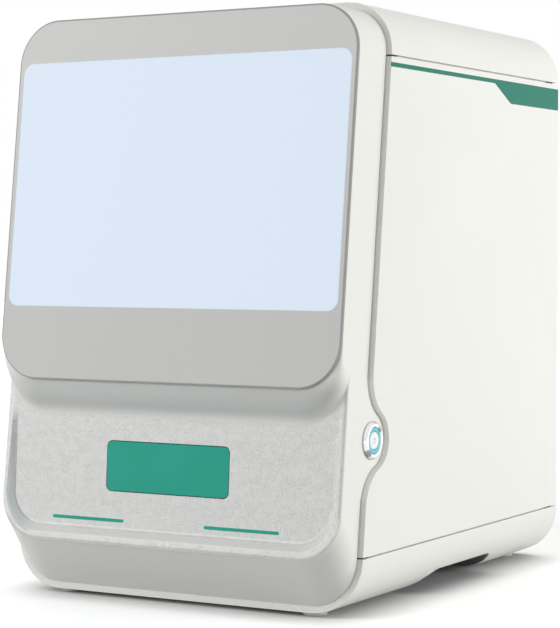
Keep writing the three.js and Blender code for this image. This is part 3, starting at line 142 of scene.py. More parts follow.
class ButtonSizes(bpy.types.PropertyGroup):
    """Sizes of the power button and of the flank tab that carries it."""

    setback: metres("Setback", (BUTTON_LOW.y + BUTTON_HIGH.y) / 2 - FOOT.y, "Button's place in depth")
    height: metres("Height", (BUTTON_LOW.z + BUTTON_HIGH.z) / 2 - FOOT.z, "Button's height")
    bulge: metres("Bulge", 0.0206, "Radius of the curve round the button")
    fillet: metres("Fillet", 0.03, "Radius of the curves that lead into it")
    tab_gap: metres("Tab gap", 0.0005, "Gap between tab and side panel")
    tab_overlap: metres("Tab overlap", 0.014, "How far the tab runs into the shell's flank")
    tab_reach: metres("Tab reach", 0.012, "How far the tab runs past its curves")
    bore: metres("Bore", 0.0092, "Radius of the barrel's bore")
    barrel: metres("Barrel", 0.0108, "Radius of the barrel")
    bezel: metres("Bezel", 0.013, "Radius of the chromed bezel")
    bezel_face: metres("Bezel face", 0.003, "Height of the bezel over the flank")
    cap: metres("Cap", 0.0063, "Radius of the pressed cap")
    cap_face: metres("Cap face", 0.0026, "Height of the cap over the flank")
    ring_inner: metres("Ring inside", 0.0066, "Inner radius of the light ring")
    ring_outer: metres("Ring outside", 0.0089, "Outer radius of the light ring")
    barrel_length: metres("Barrel length", 0.024, "How far the barrel runs into the body")
    cap_rim: metres("Cap rim", 0.0024, "Thickness of the cap's rim and of the ring")
    stem: metres("Stem", 0.004, "Radius of the cap's stem")
    stem_length: metres("Stem length", 0.015, "How far the stem runs in from the cap's face")
    nut: metres("Nut pocket", 0.01709, "Radius of the pocket for the nut")
    mark: metres("Mark", 0.002, "Radius of the power mark")
    mark_stroke: metres("Mark stroke", 0.00024, "Half the width of the mark's stroke")


class StripeSizes(bpy.types.PropertyGroup):
    """Places of the printed teal marks."""

    top: metres("Stripe top", 0.3745, "Upper edge of the flank's stripe")
    line_bottom: metres("Line bottom", 0.3714, "Lower edge of the narrow part")
    tab_bottom: metres("Tab bottom", 0.3576, "Lower edge of the wide part")
    slope_front: metres("Slope front", 0.218, "Where the narrow part starts to widen")
    slope_rear: metres("Slope rear", 0.248, "Where the stripe has its full width")
    pill_height: metres("Line height", 0.0556, "Height of the two lines on the fascia")
    pill_width: metres("Line width", 0.0023, "Width of the two lines")
    left_start: metres("Left line start", -0.0957, "Left end of the left line")
    left_end: metres("Left line end", -0.0348, "Right end of the left line")
    right_start: metres("Right line start", 0.0315, "Left end of the right line")
    right_end: metres("Right line end", 0.0913, "Right end of the right line")
    ink_height: metres("Ink height", 0.00006, "How far the lines stand out")


class DisplaySizes(bpy.types.PropertyGroup):
    """The lit area of the display behind the glass."""

    half_width: metres("Half width", 0.13525, "Half the lit area's width")
    bottom: metres("Bottom", 0.206, "Lower edge of the lit area")
    top: metres("Top", 0.3812, "Upper edge of the lit area")
    corner: metres("Corner", 0.008, "Radius of the lit area's corners")
    edge_line: metres("Edge line", 0.0012, "Width of the dark line at the glass's edge")


class FinishColours(bpy.types.PropertyGroup):
    """Colours of the finishes, as they look in plain light."""

    body: tint("Body plastic", "f2f2ec", "Body shells")
    shell: tint("Shell plastic", "e9e9e6", "Front shell")
    fascia: tint("Fascia", "e8e9e7", "Grained front of the shell")
    # The cove's colour is painted shade under the glass panel.
    cove: tint("Cove", "c2c4c2", "Underside below the glass panel")
    rim: tint("Rim", "f2f2ef", "Rim strip round the recess")
    skirt: tint("Skirt", "dedfdb", "Underside of the shell's front")
    # The left recess wall's colour is painted shade.
    recess_wall_shade: tint("Recess wall", "bbbfbe", "Left wall of the recess")
    panel: tint("Glass panel", "cfd0cd", "Back-printed glass")
    display: tint("Display", "dce8f6", "Lit display")
    teal: tint("Teal", "2ca48f", "Drawer door and printed lines")
    teal_stripe: tint("Teal stripe", "047a65", "Printed stripe on the flank")
    mark: tint("Mark", "a8ccd0", "Power mark on the cap")
    cyan: tint("Light ring", "5fb6c2", "Ring round the power button")
    chrome: tint("Chrome", "e6e8e9", "Bezel and cap")
    steel: tint("Steel", "b9bcbd", "Plates and guard")
    aluminium: tint("Aluminium", "c9cccd", "Machined parts")
    dark_plastic: tint("Dark plastic", "3a3a3a", "Liners, sockets and fan")
    black_metal: tint("Black metal", "26282a", "Motors and lens tube")
    rubber: tint("Foot rubber", "cfcfcb", "Feet")
    brass: tint("Brass", "c9a45a", "Screw and pinion")
    board: tint("Board", "1f6a46", "Circuit board")


class StudioLight(bpy.types.PropertyGroup):
    """The plain studio, and the camera that was fitted to the photograph."""

    world: share("World", 0.505, "Level of the light from all round")
    key: watts("Key", 21.5, "Power of the lamp on the right")
    front: watts("Front", 15, "Power of the lamp in front")
    back: watts("Back", 12, "Power of the lamp behind")
    floor_glow: share("Floor glow", 0.6, "Light that the far floor gives to the camera alone")
    floor_near: metres("Glow start", 0.45, "Distance from the object at which that light starts")
    floor_far: metres("Glow full", 1.5, "Distance at which it is full")
    floor_white: share("Floor white", 1.42, "How white the floor looks to the camera")
    shadow_reach: metres("Shadow reach", 0.036, "Distance over which the contact shadow fades")
    shadow_depth: share("Shadow depth", 0.6, "How pale the floor is in the contact shadow")
    floor_shade: share("Floor shade", 0.68, "How much light the floor gives back to the object")
    lens: FloatProperty(name="Lens", description="Focal length of the camera", default=119.55, unit="CAMERA")
    place: FloatVectorProperty(
        name="Place",
        description="Where the camera stands",
        default=(0.78844, -1.38857, 0.25312),
        subtype="TRANSLATION",
    )
    turn: FloatVectorProperty(
        name="Turn",
        description="How the camera is turned",
        default=(math.pi / 2 - 0.0334582, 0.0, 0.521966),
        subtype="EULER",
    )


# Shader expressions


class Wire:
    """One output of a graph's nodes, on which sums can be written."""

    def __init__(self, graph, socket):
        self.graph = graph
        self.socket = socket

    def maths(self, operation, *values):
        return self.graph.node("ShaderNodeMath", {"operation": operation}, dict(enumerate(values)))

    def __add__(self, other):
        return self.maths("ADD", self, other)

    __radd__ = __add__

    def __sub__(self, other):
        return self.maths("SUBTRACT", self, other)

    def __rsub__(self, other):
        return self.maths("SUBTRACT", other, self)

    def __mul__(self, other):
        return self.maths("MULTIPLY", self, other)

    __rmul__ = __mul__

    def __truediv__(self, other):
        return self.maths("DIVIDE", self, other)

    def __gt__(self, other):
        return self.maths("GREATER_THAN", self, other)

    def __lt__(self, other):
        return self.maths("LESS_THAN", self, other)

    def __abs__(self):
        return self.maths("ABSOLUTE", self)

    def least(self, other):
        return self.maths("MINIMUM", self, other)

    def most(self, other):
        return self.maths("MAXIMUM", self, other)

    def root(self):
        return self.maths("SQRT", self)

    def between(self, low, high, start=0.0, end=1.0):
        """A smooth step from start to end as the value goes from low to high."""
        settings = {"interpolation_type": "SMOOTHSTEP"}
        return self.graph.node("ShaderNodeMapRange", settings, {0: self, 1: low, 2: high, 3: start, 4: end})

    def fading(self, low, high):
        """A smooth step from 1 down to 0."""
        return 1 - self.between(low, high)


class Graph:
    """A node tree, written as expressions. Lengths are in metres, in the row frame."""

    def __init__(self, tree):
        self.tree = tree
        tree.nodes.clear()

    def node(self, kind, settings=None, sockets=None, output=0):
        """Adds a node with its settings, then its sockets' values and links. Gives one of its outputs."""
        node = self.tree.nodes.new(kind)
        for key, value in (settings or {}).items():
            setattr(node, key, value)
        for key, value in (sockets or {}).items():
            self.put(node.inputs[key], value)
        return Wire(self, node.outputs[output]) if len(node.outputs) else None

    def put(self, socket, value):
        if isinstance(value, Wire):
            self.tree.links.new(value.socket, socket)
        else:
            socket.default_value = value

    def place(self):
        return self.node("ShaderNodeTexCoord", output="Object")

    def parts(self, vector):
        parts = self.node("ShaderNodeSeparateXYZ", None, {0: vector}).socket.node.outputs
        return [Wire(self, part) for part in parts]

    def noise(self, scale, detail=2.0, rough=0.5, at=None):
        sockets = {"Vector": at or self.place(), "Scale": scale, "Detail": detail, "Roughness": rough}
        return self.node("ShaderNodeTexNoise", {"normalize": True}, sockets)

    def outside(self, x, up, half, bottom, top, corner):
        """Distance from an upright rounded outline, below 0 inside it."""
        middle = (bottom + top) / 2
        across = (abs(x) - (half - corner)).most(0.0)
        rise = (abs(up - middle) - ((top - bottom) / 2 - corner)).most(0.0)
        return (across * across + rise * rise).root() - corner

    def mixed(self, mask, first, second):
        """A colour between two colours."""
        sockets = {0: mask, 6: flat(first), 7: flat(second)}
        return self.node("ShaderNodeMix", {"data_type": "RGBA"}, sockets, output=2)

    def layered(self, tone, *layers):
        """A tone with other colours laid over it, each where its mask is 1."""
        for mask, colour in layers:
            tone = self.mixed(mask, tone, colour)
        return tone

    def clouded(self, cloud, colour, dark, pale):
        """A colour that drifts between a darker and a paler tone."""
        return self.mixed(cloud.between(0.3, 0.7), scaled(colour, dark), scaled(colour, pale))

    def stretched(self, vector, factors):
        return self.node("ShaderNodeVectorMath", {"operation": "MULTIPLY"}, {0: vector, 1: factors})

    def seen(self):
        """1 on the rays that bring a thing to the camera: straight, mirrored or through glass."""
        kinds = ("Camera", "Glossy", "Transmission")
        straight, mirrored, passed = (self.node("ShaderNodeLightPath", output=f"Is {k} Ray") for k in kinds)
        return straight.most(mirrored).most(passed)


class Finish(Graph):
    """A material with one Principled shader."""

    def __init__(self, name, **constants):
        self.material = bpy.data.materials.new(name)
        self.material.use_nodes = True
        super().__init__(self.material.node_tree)
        self.shader = self.tree.nodes.new("ShaderNodeBsdfPrincipled")
        self.node("ShaderNodeOutputMaterial", None, {0: Wire(self, self.shader.outputs[0])})
        for key, value in constants.items():
            self.shader.inputs[key.replace("_", " ").title().replace("Ior", "IOR")].default_value = value

    def drive(self, tone, rough, height=None, **others):
        """Feeds what varies over the surface to the shader. Heights are in metres."""
        inputs = {"base_color": tone, "roughness": rough, **others}
        if height:
            relief = {"Strength": 1.0, "Distance": 1.0, "Height": height}
            inputs["normal"] = self.node("ShaderNodeBump", None, relief)
        for key, value in inputs.items():
            self.put(self.shader.inputs[key.replace("_", " ").title()], value)
        return self


def flat(colour):
    return colour if isinstance(colour, Wire) else (*colour[:3], 1.0)


def scaled(colour, factor):
    return [min(c * factor, 1.0) for c in colour[:3]]


# Finishes

# Scale, detail and roughness of the moulded parts' fine texture
FINE = (2600.0, 2.0, 0.6)


def moulded(name, colour, roughness, grain=0.0):
    """Moulded plastic: a fine even texture, or an orange-peel one where grain is above 0."""
    finish = Finish(name, ior=1.46)
    cloud = finish.noise(14.0, 3.0)
    tone = finish.clouded(cloud, colour, 0.985, 1.012)
    height = finish.noise(*FINE) * 0.00001
    rough = cloud * 0.05 + (roughness - 0.025)
    if grain:
        peel = finish.noise(820.0, 1.5, 0.45)
        height = height + peel * (0.00009 * grain)
        tone = finish.mixed(peel.between(0.38, 0.66), scaled(colour, 0.965), tone)
        rough = rough + 0.06
    return finish.drive(tone, rough, height)


def body_plastic(name, colour, s, stripe=None, stripe_colour=None, gloss=0.5):
    """White body plastic with an orange-peel front band, painted darker there as shade between the shell and
    the body, and the printed stripe where it is asked for.
    """
    finish = Finish(name, ior=1.46, specular_ior_level=gloss)
    x, y, z = finish.parts(finish.place())
    along, up = y - FOOT.y, z - FOOT.z
    band = (along - up * s.slope).fading(0.0002, 0.0008)
    cloud = finish.noise(9.0, 3.0)
    peel = finish.noise(760.0, 1.2, 0.4)
    height = finish.noise(*FINE) * 0.000008 + band * (peel.between(0.44, 0.64) * 0.00008)
    rough = 0.4 + cloud * 0.06 + band * 0.1
    # Both grain tones on the band are darker than the body: grain, and painted shade round the shell.
    grain_and_painted_light = finish.mixed(peel.between(0.38, 0.66), scaled(colour, 0.9), scaled(colour, 0.95))
    tone = finish.mixed(band * 0.9, finish.clouded(cloud, colour, 0.988, 1.01), grain_and_painted_light)
    if stripe:
        fall = (stripe.tab_bottom - stripe.line_bottom) / (stripe.slope_rear - stripe.slope_front)
        low = (along - stripe.slope_front) * fall + stripe.line_bottom
        low = low.least(stripe.line_bottom).most(stripe.tab_bottom)
        ink = (up > low) * (up < stripe.top) * (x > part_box("right_side_panel")[1].x - 0.0003)
        tone = finish.mixed(ink, tone, stripe_colour)
        rough = rough - ink * 0.1
    return finish.drive(tone, rough, height)


def shell_plastic(name, colours, s, button_height):
    """Grey shell plastic: smooth flanks, skirt and cove, and an orange-peel front round the recess. Its
    colour also carries painted light and shade: paler side faces, a darker cove, rear edge and rim edge, a
    darker left recess wall and crease lines, and a painted highlight line in the recess.
    """
    finish = Finish(name, ior=1.46)
    x, y, z = finish.parts(finish.place())
    nx, ny, _ = finish.parts(finish.node("ShaderNodeNewGeometry", output="Normal"))
    up = z - FOOT.z
    depth = up * s.slope - (y - FOOT.y)
    half, rim = s.half_width, s.rim_depth

    # The flanks, the front, and the cove's hollow underside, with painted light on the side faces and painted
    # shade on the cove and along the rear edge
    flank = abs(x).between(half - 0.0008, half - 0.0003)
    # Side-facing faces take the body's paler white: painted light, against the greyer front.
    side = abs(nx).between(0.3, 0.95)
    foot = finish.outside(x, up, half, s.cove_bottom, s.top, s.cove_corner)
    forward = depth.between(rim - 0.0008, rim - 0.0002)
    front = (0 - ny).between(0.955, 0.985) * foot.between(-0.0005, 0.002) * (1 - flank)
    # Painted shade on the cove's underside below the panel, fading out at its foot.
    cove_shade = foot.fading(-0.0075, 0.0044) * forward * (1 - flank) * up.fading(0.15, 0.166)
    # The painted shade is lighter towards the cove's left end.
    cove_shade = cove_shade * (0.45 + 0.55 * x.between(-0.136, -0.106))
    skirt = (1 - side) * depth.fading(rim - 0.003, rim - 0.0003) * up.fading(0.045, 0.06)
    # Painted shade along the shell's rear edge, where it rounds into the body, away from the button.
    tuck = depth.fading(0.0003, 0.0088) * abs(up - button_height).between(0.034, 0.052)
    tuck = tuck * depth.between(-0.0005, 0.0) * 0.5

    # The recess round the fascia: painted shade on its left wall, in the crease at the wall's foot and on its
    # sill, a painted highlight line inside the sill, painted shade on the rim's edges, and the strip of rim
    # outside it
    mouth = half - s.rim_round - s.strip_width
    edge = finish.outside(x, up, mouth, s.rim_bottom + s.strip_height, s.top, s.strip_corner)
    inside = forward.most(edge < 0.0) * up.fading(0.13, 0.134)
    left = x.fading(-0.124, -0.108) * up.fading(0.12, 0.134) * inside
    spread = edge - (0.0022 - (up - 0.06) * 0.022)
    # Painted shade on the left wall of the recess, paler towards the bottom.
    wall = left * spread.fading(-0.0004, 0.0002) * edge.between(-0.0045, -0.0039)
    # Painted shade in the crease at the foot of the left wall.
    crease_shade = left * edge.between(-0.0046, -0.0041) * edge.fading(-0.0039, -0.0033) * up.fading(0.1, 0.125)
    low = (1 - left) * inside * up.fading(0.052, 0.075) * edge.fading(-0.0004, 0.0003)
    # Painted shade on the recess's sill, and a painted highlight line just inside it.
    sill_shade = low * edge.between(-0.0052, -0.0046)
    sill_highlight = low * edge.between(-0.0066, -0.006) * edge.fading(-0.0052, -0.0046)
    strip = edge.between(-0.0001, 0.0005) * forward * foot.between(0.0005, 0.006) * (1 - wall)
    # Painted shade: a thin dark line just inside the rim's outer edge on the right.
    ridge = x.between(half - 0.0034, half - 0.0016) * x.fading(half - 0.0009, half - 0.0003)
    ridge = ridge * depth.between(rim - 0.0022, rim - 0.0014) * up.between(0.06, 0.075)
    ridge = ridge * foot.between(0.0, 0.003)
    # Painted shade on the rim's lower edge, standing in for a larger rounding into the skirt.
    border = finish.outside(x, up, half, s.rim_bottom, s.top, s.corner)
    turned = border.between(-0.0022, -0.0005) * forward * (1 - flank) * up.fading(0.045, 0.065)

    peel = finish.noise(740.0, 1.0, 0.4)
    pits = finish.noise(220.0, 2.0, 0.5)
    cloud = finish.noise(14.0, 3.0)
    grain_and_painted_light = finish.layered(
        colours.fascia,
        (strip, colours.rim),
        (sill_shade, scaled(colours.fascia, 0.9)),
        (sill_highlight, scaled(colours.fascia, 1.15)),
    )
    tone = finish.layered(
        finish.clouded(cloud, colours.shell, 0.985, 1.012),
        (side, colours.body),
        (tuck, scaled(colours.skirt, 0.8)),
        (skirt, colours.skirt),
        (front.most(inside * (1 - flank)), finish.stretched(grain_and_painted_light, peel.between(0.4, 0.62, 0.968, 1.012))),
        (turned, scaled(colours.skirt, 0.86)),
        (cove_shade, colours.cove),
        (wall, finish.stretched(colours.recess_wall_shade, up.between(0.055, 0.115, 1.24, 0.98))),
        (crease_shade * 0.6, scaled(colours.recess_wall_shade, 0.7)),
        (ridge * 0.55, scaled(colours.fascia, 0.62)),
    )
    bumps = peel.between(0.44, 0.64) * pits.between(0.34, 0.6, 0.35, 1.0)
    height = finish.noise(*FINE) * 0.00001 + front * (bumps * 0.00034)
    return finish.drive(tone, 0.4 + cloud * 0.05 + front * 0.08, height)


def metal(name, colour, roughness, brushed=None, wear=1.0):
    """Metal with a fine grain, drawn out along an axis where it is brushed."""
    finish = Finish(name, metallic=1.0)
    at = finish.stretched(finish.place(), brushed) if brushed else None
    streak = finish.noise(900.0, 3.0, 0.6, at)
    cloud = finish.noise(22.0, 3.0)
    tone = finish.mixed(streak, scaled(colour, 1 - 0.08 * wear), colour)
    rough = roughness + (streak - 0.5) * (0.12 * wear) + (cloud - 0.5) * 0.08
    return finish.drive(tone, rough, streak * (0.000006 * wear))


def coated(name, colour, roughness, speckle=0.2, gloss=0.5):
    """Painted or printed surface with a light speckle."""
    finish = Finish(name, ior=1.5, specular_ior_level=gloss)
    fine = finish.noise(1900.0, 2.0, 0.6)
    tone = finish.clouded(finish.noise(30.0, 2.0), colour, 1 - 0.1 * speckle, 1 + 0.1 * speckle)
    return finish.drive(tone, roughness + (fine - 0.5) * 0.1, fine * 0.000008)


def display_glass(name, colours, sizes, shell):
    """Back-printed glass: grey border, the lit area, and a thin dark line at its edge that is partly the
    glass's edge and partly painted shadow of the gap. The grey is painted paler towards the top as a painted
    reflection.
    """
    finish = Finish(name, ior=1.5, specular_ior_level=0.0, coat_roughness=0.1, emission_strength=0.71)
    x, _, z = finish.parts(finish.place())
    up = z - FOOT.z
    lit = finish.outside(x, up, sizes.half_width, sizes.bottom, sizes.top, sizes.corner)
    lit = lit.fading(-0.0002, 0.0004)
    # Dark line at the glass's edge: partly the edge itself, partly painted shadow in the gap round the glass.
    line = finish.outside(x, up, shell.half_width, shell.panel_bottom, shell.top, shell.corner)
    line = line.between(-sizes.edge_line - 0.0003, -sizes.edge_line + 0.0002)
    cloud = finish.noise(6.0, 2.0)
    tone = finish.layered(
        finish.mixed(cloud, scaled(colours.panel, 0.99), scaled(colours.panel, 1.03)),
        # Painted reflection: the grey border paler towards the top.
        (up.between(sizes.bottom, shell.top), scaled(colours.panel, 1.1)),
        (line, scaled(colours.panel, 0.6)),
        (lit, scaled(colours.display, 0.35)),
    )
    glow = finish.mixed(lit, (0.0, 0.0, 0.0), colours.display)
    smudge = finish.noise(34.0, 4.0, 0.6)
    return finish.drive(tone, 0.1 + smudge * 0.05, emission_color=glow, coat_weight=0.5 - lit * 0.4)


# Mesh helpers

Outline = namedtuple("Outline", "depth half bottom top corner top_corner")


def row(x, y, z):
    """A point of the body's own frame, in the row frame."""
    return Vector((x, y + FOOT.y, z + FOOT.z))


def sweep(start, end, steps):
    """Angles from one to another, both given in degrees."""
    return [math.radians(start + (end - start) * i / steps) for i in range(steps + 1)]


def turns(steps):
    """The angles of a whole turn."""
    return [2 * math.pi * i / steps for i in range(steps)]


def circle(x, along, up, radius, steps):
    """A ring of points about a line that runs along X."""
    return [row(x, along + radius * math.cos(t), up + radius * math.sin(t)) for t in turns(steps)]


def piece(name, mesh):
    """A new object with a finished bmesh."""
    data = bpy.data.meshes.new(name)
    bmesh.ops.recalc_face_normals(mesh, faces=mesh.faces)
    mesh.to_mesh(data)
    mesh.free()
    obj = bpy.data.objects.new(name, data)
    bpy.context.scene.collection.objects.link(obj)
    return obj


def skinned(name, *solids):
    """A piece of closed skins. Each runs through rings of points that have the same count."""
    mesh = bmesh.new()
    for rings in solids:
        rows = [[mesh.verts.new(point) for point in ring] for ring in rings]
        count = len(rows[0])
        for near, far in zip(rows, rows[1:]):
            for i in range(count):
                j = (i + 1) % count
                mesh.faces.new((near[i], near[j], far[j], far[i]))
        mesh.faces.new(rows[0])
        mesh.faces.new(rows[-1])
    return piece(name, mesh)


def rounded(half, bottom, top, corner, top_corner, steps):
    """A rounded rectangle's points, from its lower right corner round."""
    points = []
    for across, up, radius, start in (
        (half - corner, bottom + corner, corner, -90),
        (half - top_corner, top - top_corner, top_corner, 0),
        (top_corner - half, top - top_corner, top_corner, 90),
        (corner - half, bottom + corner, corner, 180),
    ):
        for turn in sweep(start, start + 90, steps):
            points.append((across + radius * math.cos(turn), up + radius * math.sin(turn)))
    return points


def lofted(name, outlines, slope, steps):
    """A skin through rounded outlines that stand one behind the other and lean back."""
    rings = [[row(x, -o.depth + slope * z, z) for x, z in rounded(*o[1:], steps)] for o in outlines]
    return skinned(name, rings)


def combined(target, tool, operation):
    """Joins, cuts or meets a piece with a tool, which is then removed."""
    modifier = target.modifiers.new("combine", "BOOLEAN")
    modifier.operation = operation
    modifier.solver = "MANIFOLD"
    modifier.object = tool
    graph = bpy.context.evaluated_depsgraph_get()
    result = bpy.data.meshes.new_from_object(target.evaluated_get(graph))
    target.modifiers.clear()
    if not result.polygons:
        raise RuntimeError(f"{operation} of {target.name} and {tool.name} left nothing")
    old = target.data
    target.data = result
    bpy.data.meshes.remove(old)
    bpy.data.objects.remove(tool)
    return target


def smoothed(obj, angle):
    """Smooth shading between faces that meet at less than an angle."""
    obj.data.polygons.foreach_set("use_smooth", [True] * len(obj.data.polygons))
    obj.data.set_sharp_from_angle(angle=math.radians(angle))
    obj.modifiers.new("even normals", "WEIGHTED_NORMAL").keep_sharp = True
    return obj


def turned_x(name, profile, base, along, up, steps=96):
    """(radius, reach) points turned about a line along X. The profile closes on itself, or at radius 0."""
    mesh = bmesh.new()
    rings = []
    for radius, reach in profile:
        if radius:
            rings.append([mesh.verts.new(point) for point in circle(base + reach, along, up, radius, steps)])
        else:
            rings.append([mesh.verts.new(row(base + reach, along, up))] * steps)
    closing = rings[:1] if profile[0][0] else []
    for near, far in zip(rings, rings[1:] + closing):
        for i in range(steps):
            j = (i + 1) % steps
            corners = list(dict.fromkeys((near[i], near[j], far[j], far[i])))
            if len(corners) > 2:
                mesh.faces.new(corners)
    return smoothed(piece(name, mesh), 35.0)


# Share of the radius, share of the height, and whether the ring is the key's hexagon
HEAD_PROFILE = (
    (1.0, 0.0, False),
    (1.0, 0.55, False),
    (0.88, 0.9, False),
    (0.7, 1.0, False),
    (0.52, 1.0, True),
    (0.48, 0.35, True),
)


def screw_heads(name, places, radius, height, steps=24):
    """Socket-headed screws of one size, in one piece, whose heads look along Y."""
    axis = Vector((0, 1, 0))
    side = axis.orthogonal().normalized()
    other = axis.cross(side)
    sixth = math.pi / 3
    solids = []
    for place in places:
        rings = []
        for width, rise, hexagon in HEAD_PROFILE:
            ring = []
            for turn in turns(steps):
                reach = radius * width
                if hexagon:
                    reach *= math.cos(sixth / 2) / math.cos(turn % sixth - sixth / 2)
                spoke = side * math.cos(turn) + other * math.sin(turn)
                ring.append(Vector(place) + axis * (height * rise) + spoke * reach)
            rings.append(ring)
        solids.append(rings)
    return smoothed(skinned(name, *solids), 32.0)


def lens_dome(name, place, radius, height, steps=40, rows=6):
    """A shallow dome of glass on a short edge, looking along Z. A height below 0 looks down."""
    levels = [(radius, 0.0)]
    for k in range(rows):
        swing = math.pi / 2 * k / rows
        levels.append((radius * math.cos(swing), height * (0.3 + 0.7 * math.sin(swing))))
    rings = [
        [Vector(place) + Vector((reach * math.cos(t), reach * math.sin(t), rise)) for t in turns(steps)]
        for reach, rise in levels
    ]
    return smoothed(skinned(name, rings), 50.0)


def slabs(name, boxes, chamfer):
    """Chamfered blocks in one piece, each from its low to its high corner, whose tops look along Y."""
    solids = []
    for low, high in boxes:
        rings = []
        for y, c in ((low[1], 0.0), (high[1] - chamfer, 0.0), (high[1], chamfer)):
            left, right, bottom, top = low[0] + c, high[0] - c, low[2] + c, high[2] - c
            rings.append([(left, y, bottom), (right, y, bottom), (right, y, top), (left, y, top)])
        solids.append(rings)
    return skinned(name, *solids)


def rounded_corner(points, radius_at, steps=6):
    """A profile with some of its corners rounded. radius_at maps a point's place in the list to a radius."""
    result = []
    for k, point in enumerate(points):
        radius = radius_at.get(k)
        here = Vector(point)
        if not radius:
            result.append(tuple(here))
            continue
        before = (Vector(points[k - 1]) - here).normalized()
        after = (Vector(points[(k + 1) % len(points)]) - here).normalized()
        half = before.angle(after) / 2
        reach = radius / math.tan(half)
        middle = here + (before + after).normalized() * (radius / math.sin(half))
        start = here + before * reach - middle
        end = here + after * reach - middle
        span = start.angle_signed(end)
        for i in range(steps + 1):
            cos, sin = math.cos(-span * i / steps), math.sin(-span * i / steps)
            arm = Vector((start.x * cos - start.y * sin, start.x * sin + start.y * cos))
            result.append(tuple(middle + arm))
    return result


def fixed(obj, finish, body="housing"):
    """Gives an added piece its finish and its body."""
    obj.data.materials.append(finish.material)
    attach(obj, body)


def softener():
    """The node group that welds a carried-over mesh and shades its curved faces smoothly."""
    name = "weld and shade smooth"
    if name in bpy.data.node_groups:
        return bpy.data.node_groups[name]
    tree = bpy.data.node_groups.new(name, "GeometryNodeTree")
    for way in ("INPUT", "OUTPUT"):
        tree.interface.new_socket("Geometry", in_out=way, socket_type="NodeSocketGeometry")
    graph = Graph(tree)
    bend = graph.node("GeometryNodeInputMeshEdgeAngle", output="Unsigned Angle")
    gentle = graph.node("FunctionNodeCompare", {"operation": "LESS_THAN"}, {0: bend, 1: math.radians(26)})
    shape = graph.node("NodeGroupInput")
    for kind, settings, sockets in (
        ("GeometryNodeMergeByDistance", None, {"Distance": 1e-6}),
        ("GeometryNodeRemoveAttribute", None, {"Name": "custom_normal"}),
        ("GeometryNodeSetShadeSmooth", {"domain": "FACE"}, {"Shade Smooth": True}),
        ("GeometryNodeSetShadeSmooth", {"domain": "EDGE"}, {"Shade Smooth": gentle}),
    ):
        shape = graph.node(kind, settings, {"Geometry": shape, **sockets})
    graph.node("NodeGroupOutput", None, {0: shape})
    return tree


def dressed(names, finish, edge=0.0003):
    """Gives CAD nodes their finish, smooth curves and softly broken edges."""
    for name in names.split():
        obj = NODES[name]
        obj.data.materials.clear()
        obj.data.materials.append(finish.material)
        obj.modifiers.new("smooth curves", "NODES").node_group = softener()
        if edge:
            bevel = obj.modifiers.new("broken edges", "BEVEL")
            bevel.width = edge
            bevel.segments = 2
            bevel.limit_method = "ANGLE"
            bevel.angle_limit = math.radians(32)
            bevel.harden_normals = True


def settings():
    return bpy.context.scene.analyzer


# Front shell


def skirt_bottom(s, depth):
    rise = (s.rim_bottom - s.skirt_foot) / (s.rim_depth - s.rear_depth)
    return s.skirt_foot + rise * (depth - s.rear_depth)


def lower_shell(s):
    outlines = []
    for turn in sweep(90, 0, 8):
        depth = s.rear_depth + s.edge_round * (1 - math.sin(turn))
        half = s.half_width - s.edge_tuck * (1 - math.cos(turn))
        outlines.append(Outline(depth, half, skirt_bottom(s, depth), s.top, s.corner, s.corner))
    back = s.rim_depth - s.rim_round
    low = skirt_bottom(s, back)
    for turn in sweep(0, 90, 6):
        depth = back + s.rim_round * math.sin(turn)
        inset = 1 - math.cos(turn)
        half = s.half_width - s.rim_round * inset
        bottom = low + (s.rim_bottom - low) * inset
        outlines.append(Outline(depth, half, bottom, s.top, s.corner, s.corner))
    return lofted("front_shell_skin", outlines, s.slope, s.arc_steps)


def cove_outlines(s, skin, count):
    """Outlines of the cove as it swings out from the rim to the panel, thinned by a skin."""
    slab = s.panel_depth - s.panel_thickness - s.rear_depth
    reach = slab - s.rim_depth
    fall = s.panel_bottom - s.cove_bottom
    outlines = []
    for i in range(count + 1):
        turn = s.cove_sweep * (1 - i / count)
        forward = (math.cos(turn) - math.cos(s.cove_sweep)) / (1 - math.cos(s.cove_sweep))
        down = math.sin(turn) / math.sin(s.cove_sweep)
        corner = s.panel_corner + (s.cove_corner - s.panel_corner) * down
        depth = s.rim_depth + reach * forward - skin
        bottom = s.panel_bottom - fall * down + skin
        outlines.append(Outline(depth, s.half_width - skin, bottom, s.top - skin, corner, s.corner))
    return outlines


def foot_fillet(s):
    """A hollow fillet from the cove to the rim's plane. It runs out where the cove meets the flanks."""
    cove = cove_outlines(s, 0.0, 60)
    fall = (s.panel_bottom - s.cove_bottom) * math.sin(s.fillet_start) / math.sin(s.cove_sweep)
    start = min(cove, key=lambda o: abs(o.bottom - (s.panel_bottom - fall)))
    near = cove[cove.index(start) + 1]
    pitch = (start.depth - near.depth) / (start.bottom - near.bottom)
    bend = Vector((s.rim_depth, start.bottom - (start.depth - s.rim_depth) / pitch))
    first, last = Vector((start.depth, start.bottom)), Vector((s.rim_depth, s.fillet_foot))
    side_foot = s.cove_bottom + s.cove_corner
    outlines = [Outline(s.rim_depth - s.rim_round, s.half_width, last.y, s.top, side_foot - last.y, s.corner)]
    for i in range(13):
        t = 1 - i / 12
        spot = first * (1 - t) ** 2 + bend * (2 * t * (1 - t)) + last * t**2
        side = min(cove, key=lambda o: abs(o.depth - spot.x))
        corner = side.bottom + side.corner - spot.y
        outlines.append(Outline(spot.x, s.half_width, spot.y, s.top, corner, s.corner))
    return lofted("fillet", outlines, s.slope, s.arc_steps)


def upper_shell(s):
    outlines = cove_outlines(s, 0.0, 26)
    root = outlines[0]._replace(depth=s.rim_depth - s.rim_round)
    return lofted("upper", [root, *outlines], s.slope, s.arc_steps)


